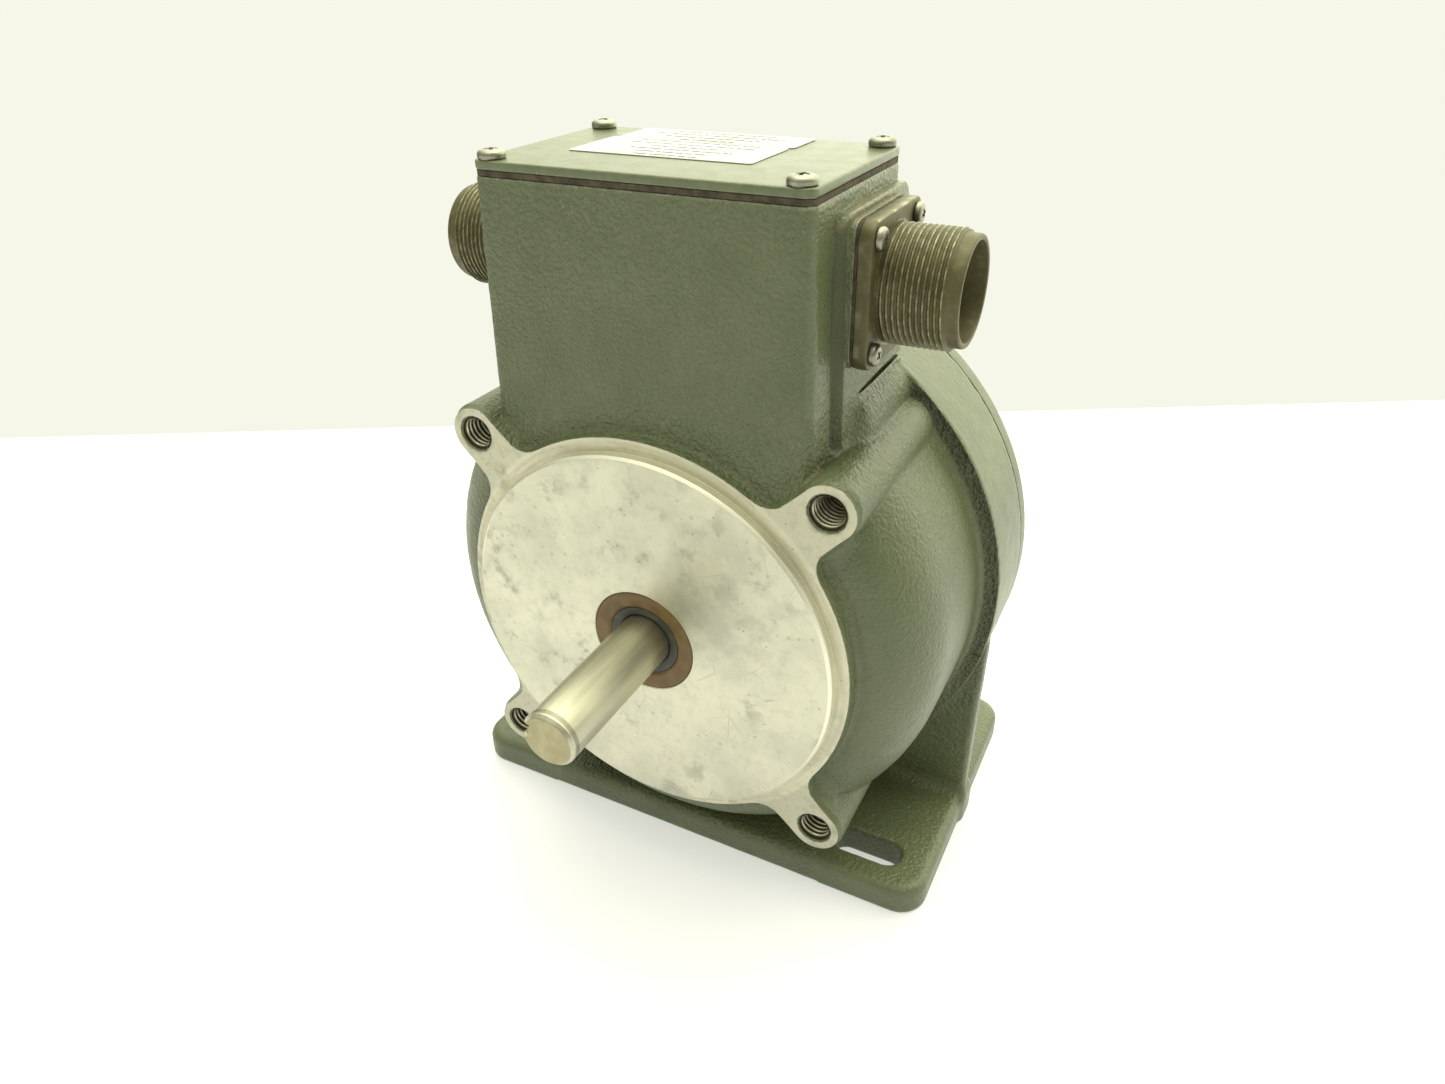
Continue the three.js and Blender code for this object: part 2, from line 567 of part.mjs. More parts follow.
const radial = (degrees, r, across) => {
  const angle = THREE.MathUtils.degToRad(degrees);
  return [r * Math.cos(angle) - across * Math.sin(angle),
    r * Math.sin(angle) + across * Math.cos(angle)];
};
const sensorScrewPlaces = (degrees) =>
  [7, -7].map((across) => radial(degrees, SENSOR_SCREW_CIRCLE_R, across));

function sensorModule(degrees) {
  const body = solid(new THREE.BoxGeometry(12, 13.6, 22).translate(65.5, 69.1, 0)
    .rotateY(-THREE.MathUtils.degToRad(degrees)));
  const holes = sensorScrewPlaces(degrees)
    .map(([x, z]) => turnedY(rodProfile(SENSOR_SCREW_R + CLEARANCE, 60, 80), ROUND_TINY, x, z));
  return cut(body, ...holes);
}

function wireHarness(side) {
  const route = new THREE.CatmullRomCurve3([
    new THREE.Vector3(side * 21.6, 69, 63.5), new THREE.Vector3(side * 15, 67.5, 64.5),
    new THREE.Vector3(side * 8, 62, 65.5), new THREE.Vector3(side * 4.5, 53, 66.8),
    new THREE.Vector3(side * 4.2, 47.5, 72), new THREE.Vector3(side * 4.2, 45, 80),
    new THREE.Vector3(side * 4.2, 44, 91.5),
  ]);
  const section = new THREE.Shape();
  section.absarc(0, 0, 1.6, 0, 2 * Math.PI, false);
  return solid(new THREE.ExtrudeGeometry(section,
    { extrudePath: route, steps: 14, curveSegments: 3, bevelEnabled: false }));
}

// ---- connectors: drawn pointing along +X about their own axis ----------------------------
const portCorners = corners.map(([a, b]) => [
  (a * FLANGE_HOLE_PITCH) / 2, (b * FLANGE_HOLE_PITCH) / 2]);
const GASKET_X = SEAT_X + GAP;
const FLANGE_X = SEAT_X + 0.8;
const FLANGE_FRONT_X = FLANGE_X + FLANGE_THICKNESS;
const MOUTH_X = FLANGE_FRONT_X + BARREL_LENGTH;

function portShell() {
  const half = FLANGE_SIDE / 2;
  const flange = prismX(roundedRectangle(-half, -half, half, half, 4), FLANGE_X, FLANGE_FRONT_X);
  const barrel = turnedX([
    [0, 40.5], [PORT_BODY_R, 40.5], [PORT_BODY_R, FLANGE_X + 1], [BARREL_R, FLANGE_X + 1],
    [BARREL_R, MOUTH_X - LEAD_LENGTH], [LEAD_R, MOUTH_X - LEAD_LENGTH + 1],
    [LEAD_R, MOUTH_X], [0, MOUTH_X]], ROUND_FINE);
  const bore = turnedX(rodProfile(BARREL_BORE_R, 38, MOUTH_X + 1), ROUND_FINE);
  const holes = portCorners.map(([y, z]) =>
    turnedX(rodProfile(1.6, FLANGE_X - 1, FLANGE_FRONT_X + 1), ROUND_TINY, y, z));
  return cut(join(flange, barrel), bore, ...holes);
}

function portGasket() {
  const half = FLANGE_SIDE / 2 - 0.2;
  const sheet = prismX(roundedRectangle(-half, -half, half, half, 4), GASKET_X, FLANGE_X - GAP);
  const holes = portCorners.map(([y, z]) => turnedX(rodProfile(1.6, 45, 55), ROUND_TINY, y, z));
  return cut(sheet, turnedX(rodProfile(PORT_HOLE_R, 45, 55), ROUND), ...holes);
}

function portInsert() {
  const body = turnedX(rodProfile(BARREL_BORE_R - 0.3, 42, 60), ROUND_FINE);
  const pins = [];
  for (let i = 0; i < PIN_COUNT; i += 1) {
    const inner = i < 3;
    const count = inner ? 3 : PIN_COUNT - 3;
    const angle = (i / count) * 2 * Math.PI;
    const r = inner ? 3 : 8;
    pins.push(turnedX(rodProfile(0.9, 37, 67), 5,
      r * Math.cos(angle), r * Math.sin(angle)));
  }
  return join(body, ...pins);
}

const portScrew = ([y, z]) =>
  turnedX(panScrewProfile(FLANGE_FRONT_X, 43, 2.75, 1.9, PORT_SCREW_R), ROUND_TINY, y, z);

// ---- covers and their fasteners ----------------------------------------------------------
function rearCover() {
  const body = turnedY([
    [0, 90.2], [66, 90.2], [69, 86.8], [74.6, 86.8], [74.6, DRUM_BACK + 0.35],
    [DRUM_R, DRUM_BACK + 0.35], [DRUM_R, COVER_BACK - 1.6], [DRUM_R - 1.6, COVER_BACK],
    [63, COVER_BACK], [60, 94], [0, 94]], ROUND_BIG);
  const holes = coverScrewPlaces().map(([x, z]) => turnedY(rodProfile(2.3, 80, 100), ROUND_TINY, x, z));
  return cut(body, ...holes);
}

function rearGasket() {
  const ring = turnedY(tubeProfile(75.4, DRUM_R - 0.5, DRUM_BACK + GAP, DRUM_BACK + 0.3),
    ROUND_BIG);
  const holes = coverScrewPlaces().map(([x, z]) => turnedY(rodProfile(2.3, 80, 100), ROUND_TINY, x, z));
  return cut(ring, ...holes);
}

const lidOutline = (inset) => roundedRectangle(-BOX_HALF_WIDTH + inset, BOX_FRONT + inset,
  BOX_HALF_WIDTH - inset, BOX_BACK - inset, BOX_CORNER_R);
const GASKET_Z = BOX_TOP + GAP;
const LID_Z = BOX_TOP + GASKET_THICKNESS + 2 * GAP;
const LID_TOP = LID_Z + LID_THICKNESS;
const lidHoles = (r) => lidScrewPlaces().map(([x, y]) =>
  turnedZ(rodProfile(r, BOX_TOP - 2, LID_TOP + 2), ROUND_TINY, x, y));

function lidGasket() {
  const window = prismZ(roundedRectangle(-BOX_HALF_WIDTH + 7.4, BOX_FRONT + 7.4,
    BOX_HALF_WIDTH - 7.4, BOX_BACK - 7.4, 4), BOX_TOP - 1, LID_TOP);
  const sheet = prismZ(lidOutline(0.15), GASKET_Z, GASKET_Z + GASKET_THICKNESS);
  return cut(sheet, window, ...lidHoles(2));
}

// ---- assembly ----------------------------------------------------------------------------
const machine = new THREE.Group();
machine.position.set(0, (SHAFT_OUT - BASE_BACK) / 2, SHAFT_HEIGHT);

function add(name, manifold, material, parent = machine) {
  const mesh = new THREE.Mesh(geometryOf(manifold), material);
  mesh.name = name;
  parent.add(mesh);
}

add("housing", housing(), PAINT);
add("rear_cover", rearCover(), PAINT);
add("rear_cover_gasket", rearGasket(), RUBBER);
coverScrewPlaces().forEach(([x, z], i) => {
  const profile = panScrewProfile(
    COVER_BACK, DRUM_BACK - COVER_SCREW_DEPTH, 3.9, 2.6, COVER_SCREW_SHANK_R);
  add(`rear_cover_screw_${i + 1}`, turnedY(profile, ROUND_TINY, x, z), ZINC);
});

add("box_lid", cut(prismZ(lidOutline(0), LID_Z, LID_TOP), ...lidHoles(1.9)), PAINT);
add("lid_gasket", lidGasket(), RUBBER);
lidScrewPlaces().forEach(([x, y], i) => {
  const profile = panScrewProfile(LID_TOP, BOX_TOP - LID_SCREW_DEPTH, 3.5, 2.3, LID_SCREW_R);
  add(`lid_screw_${i + 1}`, turnedZ(profile, ROUND_TINY, x, y), ZINC);
});
const labelZ = LID_TOP + GAP;
add("lid_label_front",
  block([-29.8, 26.8, labelZ], [21.5, 48.9, labelZ + LABEL_THICKNESS]), PAPER);
add("lid_label_rear",
  block([-28.6, 49, labelZ], [22.4, 63.8, labelZ + LABEL_THICKNESS]), PAPER);

add("shaft", shaft(), STEEL);
add("shaft_seal_case", turnedY(
  tubeProfile(SEAL_CASE_BORE_R, SEAL_BORE_R - 0.1, 0.1, SEAL_DEPTH - 0.4), ROUND_FINE), SEAL_CASE);
const lipR = SEAL_CASE_BORE_R - 0.1;
add("shaft_seal_lip", turnedY([[SHAFT_R + 0.26, 0.7], [lipR, 0.5], [lipR, 5.6], [9.2, 5.6],
  [8.6, 3.4], [SHAFT_R + 0.26, 0.7]], ROUND_FINE), RUBBER);
for (const [place, y] of [["front", FRONT_BEARING_Y], ["rear", REAR_BEARING_Y]]) {
  const { outer, inner, cage } = bearing(y);
  add(`${place}_bearing_outer_race`, outer, STEEL);
  add(`${place}_bearing_inner_race`, inner, STEEL);
  add(`${place}_bearing_cage_and_balls`, cage, BRASS);
}
const spacer = tubeProfile(
  17.2, BEARING_R, FRONT_BEARING_Y + BEARING_WIDTH + 0.1, REAR_BEARING_Y - 0.1);
add("bearing_spacer", turnedY(spacer, ROUND_FINE), ALUMINIUM);
add("bearing_wave_spring", waveSpring(16, 19.6, REAR_BEARING_Y + BEARING_WIDTH + 0.1, 58.8, 3), STEEL);
add("bearing_retaining_ring", retainingRing(17.6, 19.85, 58.9, Math.PI / 2, false), STEEL);
add("shaft_retaining_ring", retainingRing(8, 11.2, RING_GROOVE[0] + 0.15, Math.PI / 2, true), STEEL);
add("pulse_wheel", pulseWheel(), ALUMINIUM);
add("pulse_wheel_hub", wheelHub(), ALUMINIUM);
add("hub_set_screw", turnedX(rodProfile(1.75, 7.8, 13.2), ROUND_TINY, HUB_SCREW_Y, 0), STEEL);

add("sensor_plate", sensorPlate(), ALUMINIUM);
for (const [side, degrees] of Object.entries(SENSOR_ANGLES)) {
  add(`sensor_module_${side}`, sensorModule(degrees), RESIN);
  sensorScrewPlaces(degrees).forEach(([x, z], i) => {
    const profile = panScrewProfile(75.9, 60.5, 2.3, 1.5, SENSOR_SCREW_R);
    add(`sensor_screw_${side}_${i + 1}`, turnedY(profile, ROUND_TINY, x, z), ZINC);
  });
}
add("wire_harness_right", wireHarness(1), WIRE);
add("wire_harness_left", wireHarness(-1), WIRE);

const boardOutline = roundedRectangle(-32, 18, 32, 42.3, 2);
const boardHoles = [1, -1].map((side) =>
  turnedZ(rodProfile(1.5, BOARD_Z - 1, BOARD_Z + 3), ROUND_TINY, side * BOARD_X, BOARD_Y));
add("terminal_board", cut(prismZ(boardOutline, BOARD_Z, BOARD_Z + 1.6), ...boardHoles), BOARD);
for (const [side, name] of [[1, "right"], [-1, "left"]]) {
  const pillar = turnedZ(tubeProfile(1.6, 3.5, BOX_FLOOR + GAP, BOARD_Z - GAP), ROUND_TINY,
    side * BOARD_X, BOARD_Y);
  add(`board_standoff_${name}`, pillar, BRASS);
}

for (const [name, turn] of [["right", 0], ["left", Math.PI]]) {
  const port = new THREE.Group();
  port.position.set(0, PORT_Y, PORT_Z);
  port.rotation.z = turn;
  machine.add(port);
  add(`connector_${name}_shell`, portShell(), OLIVE_PLATE, port);
  add(`connector_${name}_gasket`, portGasket(), RUBBER, port);
  add(`connector_${name}_insert`, portInsert(), RESIN, port);
  portCorners.forEach((corner, i) => {
    add(`connector_${name}_screw_${i + 1}`, portScrew(corner), ZINC, port);
  });
}

export default machine;
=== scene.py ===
import json
import math

import bmesh
import bpy
import numpy as np
from mathutils import Matrix, Vector


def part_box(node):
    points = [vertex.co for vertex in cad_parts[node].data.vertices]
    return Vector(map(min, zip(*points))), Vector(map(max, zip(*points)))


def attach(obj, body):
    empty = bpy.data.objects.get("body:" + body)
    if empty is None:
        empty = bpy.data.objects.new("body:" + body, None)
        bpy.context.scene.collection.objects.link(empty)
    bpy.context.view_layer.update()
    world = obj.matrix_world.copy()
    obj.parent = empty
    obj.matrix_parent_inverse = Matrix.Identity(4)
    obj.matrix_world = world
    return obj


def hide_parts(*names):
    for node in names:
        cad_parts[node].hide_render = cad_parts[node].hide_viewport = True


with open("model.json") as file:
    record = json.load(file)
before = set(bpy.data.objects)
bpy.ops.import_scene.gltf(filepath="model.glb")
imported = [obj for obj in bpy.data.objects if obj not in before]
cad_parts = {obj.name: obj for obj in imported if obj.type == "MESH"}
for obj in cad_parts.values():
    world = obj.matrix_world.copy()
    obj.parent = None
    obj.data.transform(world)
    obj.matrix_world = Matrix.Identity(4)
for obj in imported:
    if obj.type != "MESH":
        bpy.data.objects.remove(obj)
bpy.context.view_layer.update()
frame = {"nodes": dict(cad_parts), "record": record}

# Foot-mounted pulse tachometer. Shapes are written in machine millimetres: the origin is the
# middle of the spigot's face on the shaft axis, +Y runs into the machine and +Z is up.
MM = 0.001
shaft_low, shaft_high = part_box("shaft")
ORIGIN = Vector((0.0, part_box("housing")[0].y, (shaft_low.z + shaft_high.z) / 2))
PLACE = Matrix.Translation(ORIGIN) @ Matrix.Scale(MM, 4)


def cad(node):
    """Lowest and highest corner of a CAD node, in machine millimetres."""
    low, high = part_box(node)
    return (low - ORIGIN) / MM, (high - ORIGIN) / MM


# ---- driving dimensions (mm) ----
SHAFT_R = 7.9375
SHAFT_OUT = -cad("shaft")[0].y
SHAFT_TAIL = cad("shaft")[1].y
SHAFT_SHOULDER_R, SHAFT_MIDDLE_R, BEARING_WIDTH = 8.5, 10.6, 12.0
RING_GROOVE_FRONT, RING_GROOVE_BACK, RING_GROOVE_R, TAIL_Y, TAIL_R = 57.2, 58.5, 7.9, 60, 7.5
KEYWAY_WIDTH, KEYWAY_DEPTH, KEYWAY_LENGTH = 4.76, 2.4, 35.7
KEYWAY_ANGLE = math.radians(168)
PILOT_R, PILOT_CHAMFER, FACE_Y, FACE_R = 57.15, 0.8, 3.2, 61.0
SEAL_BORE_R, SEAL_DEPTH = 16.0, 7.0
BOLT_CIRCLE_R, LUG_HALF_WIDTH, RIB_R = 74.6, 7.6, 8.3
LUG_CENTRE = BOLT_CIRCLE_R / math.sqrt(2)
LUG_THREAD_R, LUG_MINOR_R, LUG_PITCH, LUG_DEPTH = 4.76, 4.0, 1.5875, 22.0
BELL_R, BELL_FULL_Y, DOME_R, DOME_Y = 79.5, 32.0, 63.2, 7.6
DRUM_R, DRUM_FRONT, DRUM_BACK, DRUM_FILLET = cad("rear_cover")[1].x, 61.5, 88.5, 4.0
COVER_BACK, COVER_LIP_R = cad("rear_cover")[1].y, 74.6
COVER_GASKET_R, COVER_SCREW_CIRCLE_R = 75.4, 80
FLOOR_Z = cad("housing")[0].z
BASE_HALF_WIDTH, BASE_FRONT, BASE_BACK, BASE_THICKNESS = 83.6, 13.6, 115.0, 10.3
BASE_CORNER_R, BASE_TOP_EDGE, BASE_LOW_EDGE, SLOT_EDGE = 9, 3.6, 1.6, 1.4
PEDESTAL_EDGE, PEDESTAL_FILLET, RIB_EDGE = 1.8, 5.0, 1.2
SHOULDER_EDGE, BOX_TOP_EDGE, PAD_EDGE = 5.0, 0.9, 0.7
FOOT_FILLET, STRAP_FILLET, RIB_FILLET, SHOULDER_FILLET, BOX_FILLET, PAD_FILLET = 2.0, 7.0, 1.1, 1.2, 1.4, 0.5
PEDESTAL_HALF_WIDTH, PEDESTAL_THICKNESS = 84.3, 6.0
RELIEF_HALF_WIDTH, RELIEF_DEPTH, REAR_GAP_HALF_WIDTH, REAR_GAP_R = 50.0, 0.8, 46.0, 8
SLOT_X, SLOT_LENGTH, SLOT_WIDTH, SLOT_FRONT_Y, SLOT_PITCH_Y = 62.2, 22.4, 9.6, 26.8, 76.2
SHOULDER_FRONT, SHOULDER_LOW = 18, 30
BOX_HALF_WIDTH, BOX_FRONT, BOX_BACK, BOX_CORNER_R = 45.2, 8.1, 64.6, 3.0
BOX_TOP = cad("housing")[1].z
BOX_FOOT, BOX_WIDENING, BOX_LEAN, BOX_LOW = 52, 0.04, 1.4, 45
BOX_WALL, BOX_FLOOR = 6.2, 84.0
LID_LOW, LID_HIGH = cad("box_lid")[0].z, cad("box_lid")[1].z
LID_GASKET_WIDTH = 7.2
PORT_Y, PORT_Z, PORT_BORE_R = 39.3, 98.4, 13.1
PAD_X, PAD_FRONT, PAD_BACK, PAD_TOP, SEAT_X, SIDE_INNER_X = 47.8, 21.6, 64.4, 117.4, 49.4, 40
GROOVE_X, GROOVE_Y, GROOVE_Z, GROOVE_HALF_LENGTH = 48.4, 49, 71.6, 18
WIRE_WAY_Y, WIRE_WAY_R, WIRE_WAY_LOW = 45, 9, 66
FLANGE_SIDE, FLANGE_X, FLANGE_FRONT_X = 34.93, 50.2, 53.6
MOUTH_X = cad("connector_right_shell")[1].x
BARREL_R, BARREL_BORE_R, LEAD_R, NECK_R, TAIL_OUTER_R = 14.29, 11.7, 13.2, 14.0, 12.7
BARREL_PITCH, BARREL_THREAD_DEPTH, BARREL_START_X = 1.411, 0.62, 42.0
INSERT_X, PIN_X, PIN_END_X, PIN_R = 60.0, 59.5, 67.0, 0.8
PIN_RINGS = ((3.0, 3), (8.0, 7))
RULE_PITCH = 3.6
CORNERS = ((1, 1), (-1, 1), (-1, -1), (1, -1))


# ---- distance field of the casting ----
def low_join(a, b, k):
    """Union of two distances with a fillet of about k."""
    h = np.maximum(k - np.abs(a - b), 0.0) / k
    return np.minimum(a, b) - h * h * k * 0.25


def high_join(a, b, k):
    """Intersection of two distances with a rounded edge of about k."""
    return -low_join(-a, -b, k)


def every(*distances):
    """Intersection of distances with plain edges."""
    return np.maximum.reduce(distances)


def rounded_rectangle(u, v, u0, v0, u1, v1, r):
    """Signed distance to a rounded rectangle, negative inside."""
    du = np.abs(u - (u0 + u1) / 2) - (u1 - u0) / 2 + r
    dv = np.abs(v - (v0 + v1) / 2) - (v1 - v0) / 2 + r
    inside = np.minimum(np.maximum(du, dv), 0.0)
    return np.hypot(np.maximum(du, 0.0), np.maximum(dv, 0.0)) + inside - r


def polygon_distance(u, v, points):
    """Signed distance to a closed polygon, negative inside."""
    best = np.full(u.shape, 1e9)
    inside = np.zeros(u.shape, bool)
    for (u0, v0), (u1, v1) in zip(points, points[1:] + points[:1]):
        eu, ev = u1 - u0, v1 - v0
        wu, wv = u - u0, v - v0
        t = np.clip((wu * eu + wv * ev) / (eu * eu + ev * ev), 0.0, 1.0)
        best = np.minimum(best, (wu - eu * t) ** 2 + (wv - ev * t) ** 2)
        crosses = (v0 > v) != (v1 > v)
        if ev:
            inside ^= crosses & (u < u0 + (v - v0) * eu / ev)
    distance = np.sqrt(best)
    return np.where(inside, -distance, distance)


def arc(centre_r, centre_y, radius_r, radius_y, start, end, steps):
    """Points of an elliptical arc, as (radius, y), angles in degrees from the +radius direction."""
    angles = [math.radians(start + (end - start) * i / steps) for i in range(steps + 1)]
    return [(centre_r + radius_r * math.cos(a), centre_y + radius_y * math.sin(a)) for a in angles]


def body_profile():
    """Outline of the bell and drum, as (radius, y)."""
    root = arc(FACE_R + 2.3, DOME_Y - 1.5, 1.7, 1.5, 180, 90, 4)[:-1]
    face = [(0, 1.0), (FACE_R, 1.0), (FACE_R, FACE_Y)]
    bell = arc(DOME_R, BELL_FULL_Y, BELL_R - DOME_R, BELL_FULL_Y - DOME_Y, -90, 0, 26)
    fillet = arc(BELL_R + DRUM_FILLET, DRUM_FRONT - DRUM_FILLET, DRUM_FILLET, DRUM_FILLET, 180, 90, 7)
    drum = [(DRUM_R - 0.4, DRUM_FRONT), (DRUM_R, DRUM_FRONT + 0.6), (DRUM_R, DRUM_BACK - 0.4),
            (DRUM_R - 0.4, DRUM_BACK), (0, DRUM_BACK)]
    return face + root + bell + fillet + drum


# Outlines of the bell's hollow and of the bore with the seats of the seal and bearings.
HOLLOW = [(27, 90), (27, 12), *arc(54, 36, 17, 24, -90, 0, 8), (71, 60), (75, 60), (75, 90)]
BORE = [(0, -2), (SEAL_BORE_R, -2), (SEAL_BORE_R, SEAL_DEPTH), (13, SEAL_DEPTH), (13, 9.1), (20, 9.1),
        (20, 61), (26.9, 61), (26.9, 90), (0, 90)]


def foot(x, y, z):
    """Distance to the foot with its slots and pedestal."""
    across = np.abs(x)
    plate = rounded_rectangle(x, y, -BASE_HALF_WIDTH, BASE_FRONT, BASE_HALF_WIDTH, BASE_BACK,
                              BASE_CORNER_R)
    plate = high_join(plate, z - (FLOOR_Z + BASE_THICKNESS), BASE_TOP_EDGE)
    plate = high_join(plate, FLOOR_Z - z, BASE_LOW_EDGE)
    relief = np.maximum(across - RELIEF_HALF_WIDTH, z - FLOOR_Z - RELIEF_DEPTH)
    plate = high_join(plate, -relief, 1.0)
    gap = rounded_rectangle(x, y, -REAR_GAP_HALF_WIDTH, DRUM_BACK - 0.3, REAR_GAP_HALF_WIDTH,
                            BASE_BACK + 20, REAR_GAP_R)
    plate = high_join(plate, -gap, BASE_LOW_EDGE)
    slope = PEDESTAL_HALF_WIDTH + np.clip(z, FLOOR_Z, 0) / -FLOOR_Z
    middle = DRUM_FRONT + PEDESTAL_THICKNESS / 2
    pedestal = high_join(across - slope, np.abs(y - middle) - PEDESTAL_THICKNESS / 2, PEDESTAL_EDGE)
    plate = low_join(plate, every(pedestal, z, FLOOR_Z + 2 - z), PEDESTAL_FILLET)
    for slot_y in (SLOT_FRONT_Y, SLOT_FRONT_Y + SLOT_PITCH_Y):
        slot = rounded_rectangle(across, y, SLOT_X - SLOT_LENGTH / 2, slot_y - SLOT_WIDTH / 2,
                                 SLOT_X + SLOT_LENGTH / 2, slot_y + SLOT_WIDTH / 2, SLOT_WIDTH / 2)
        plate = high_join(plate, -slot, SLOT_EDGE)
    return plate


def lug(x, y, z, side_x, side_z):
    """Distances to one bolting lug: a flat strap in front and a round rib behind it."""
    along = (x * side_x + z * side_z) / math.sqrt(2)
    aside = np.abs(x * side_z - z * side_x) / math.sqrt(2)
    beyond = np.hypot(np.maximum(along - BOLT_CIRCLE_R, 0), aside)
    reach = np.where(along > 0, beyond, 1e3)
    strap = every(reach - LUG_HALF_WIDTH, 1.0 - y, y - FACE_Y - 4)
    rib = high_join(reach - RIB_R, FACE_Y + 1.2 - y, RIB_EDGE)
    return strap, np.maximum(rib, y - DRUM_FRONT - 1)


def shoulders(x, y, z):
    """Distance to the shoulders of the drum beside the terminal box."""
    outer_r = np.interp(y, [20, 24, 31, 33], [77.5, 79.0, DRUM_R - 0.6, DRUM_R])
    reach_x = np.interp(z, [40, 90], [51, 57])
    shoulder = high_join(np.hypot(x, z) - outer_r, np.abs(x) - reach_x, SHOULDER_EDGE)
    return every(shoulder, SHOULDER_FRONT - y, y - DRUM_FRONT - 1, SHOULDER_LOW - z)


def terminal_box(x, y, z):
    """Distance to the terminal box with its side pads and the connector seats."""
    across = np.abs(x)
    down = (BOX_TOP - z) / (BOX_TOP - BOX_FOOT)
    box = rounded_rectangle(x / (1 + BOX_WIDENING * down), y, -BOX_HALF_WIDTH,
                            BOX_FRONT - BOX_LEAN * down, BOX_HALF_WIDTH, BOX_BACK, BOX_CORNER_R)
    box = np.maximum(high_join(box, z - BOX_TOP, BOX_TOP_EDGE), BOX_LOW - z)
    face = rounded_rectangle(y, z, PAD_FRONT - 2.4, 30, PAD_BACK, PAD_TOP, 4.0)
    pad_x = PAD_X + 1.2 * np.clip((PAD_TOP - z) / 57, 0, 1.2)
    pad = high_join(face, across - pad_x, PAD_EDGE)
    pad = high_join(pad, (across - pad_x) * 0.78 - (y - PAD_FRONT) * 0.63, 0.6)
    pad = np.maximum(pad, SIDE_INNER_X - across)
    half = FLANGE_SIDE / 2
    seat = rounded_rectangle(y, z, PORT_Y - half, PORT_Z - half, PORT_Y + half, PORT_Z + half, 4.0)
    seat = every(seat, across - SEAT_X, SIDE_INNER_X - across)
    return np.minimum(low_join(box, pad, PAD_FILLET), seat)


def casting(points):
    """Distance to the surface of the housing casting, negative in the metal."""
    x, y, z = points[:, 0], points[:, 1], points[:, 2]
    across = np.abs(x)
    r = np.hypot(x, z)
    solid = polygon_distance(r, y, body_profile())
    plate = foot(x, y, z)
    solid = np.where(z < -20, low_join(solid, plate, FOOT_FILLET), np.minimum(solid, plate))
    for side_x, side_z in CORNERS:
        strap, rib = lug(x, y, z, side_x, side_z)
        solid = low_join(low_join(solid, strap, STRAP_FILLET), rib, RIB_FILLET)
    solid = low_join(solid, shoulders(x, y, z), SHOULDER_FILLET)
    solid = low_join(solid, terminal_box(x, y, z), BOX_FILLET)

    # A short cast groove on each side, under the pads.
    open_by = 1.15 * np.sqrt(np.clip(1 - ((y - GROOVE_Y) / GROOVE_HALF_LENGTH) ** 2, 0, 1))
    beyond = across - GROOVE_X
    groove = np.maximum(np.abs(z - GROOVE_Z - beyond) - 0.75 * open_by, np.abs(beyond) - 1.3 * open_by)
    solid = np.maximum(solid, -np.maximum(groove, np.abs(y - GROOVE_Y) - GROOVE_HALF_LENGTH))

    # Machining: the bolting face, the bores and hollows. The spigot is a turned piece of its own.
    inside = rounded_rectangle(x, y, -BOX_HALF_WIDTH + BOX_WALL, BOX_FRONT + BOX_WALL,
                               BOX_HALF_WIDTH - BOX_WALL, BOX_BACK - BOX_WALL, 5)
    hole_r = np.hypot(across - LUG_CENTRE, np.abs(z) - LUG_CENTRE)
    flare = (hole_r + y - FACE_Y - LUG_THREAD_R - 0.75) * 0.7
    tapped = np.minimum(hole_r - LUG_THREAD_R - 0.05, flare)
    hollows = [
        polygon_distance(r, y, HOLLOW),
        polygon_distance(r, y, BORE),
        np.maximum(inside, BOX_FLOOR - z),
        every(np.hypot(x, y - WIRE_WAY_Y) - WIRE_WAY_R, WIRE_WAY_LOW - z, z - BOX_FLOOR - 1),
        np.maximum(np.hypot(y - PORT_Y, z - PORT_Z) - PORT_BORE_R, 30 - across),
        np.maximum(tapped, y - FACE_Y - LUG_DEPTH),
    ]
    return every(solid, FACE_Y - y, *[-hollow for hollow in hollows])


def gradient(field, points, step=0.04):
    """Unit gradient of a distance field by central differences."""
    slopes = np.empty_like(points)
    for axis in range(3):
        shift = np.zeros(3)
        shift[axis] = step
        slopes[:, axis] = field(points + shift) - field(points - shift)
    length = np.linalg.norm(slopes, axis=1, keepdims=True)
    return slopes / np.maximum(length, 1e-9)


def sample(field, low, counts, pitch):
    """The field on a grid, worked out only near its surface."""
    block = 8
    shape = [-(-(n - 1) // block) for n in counts]
    middles = np.stack(np.meshgrid(*[(np.arange(n) + 0.5) * block * pitch for n in shape],
                                   indexing="ij"), -1).reshape(-1, 3) + low
    rough = field(middles).reshape(shape)
    near = np.abs(rough) < block * pitch * 0.9 + 2.0
    grid = np.empty(counts, np.float32)
    wanted = np.zeros(counts, bool)
    for i, j, k in np.ndindex(*shape):
        if near[i, j, k]:
            wanted[tuple(slice(block * a, block * a + block + 1) for a in (i, j, k))] = True
        else:
            grid[tuple(slice(block * a, block * a + block) for a in (i, j, k))] = rough[i, j, k]
    index = np.argwhere(wanted)
    for start in range(0, len(index), 400_000):
        part = index[start:start + 400_000]
        grid[tuple(part.T)] = field(part * pitch + low)
    return grid


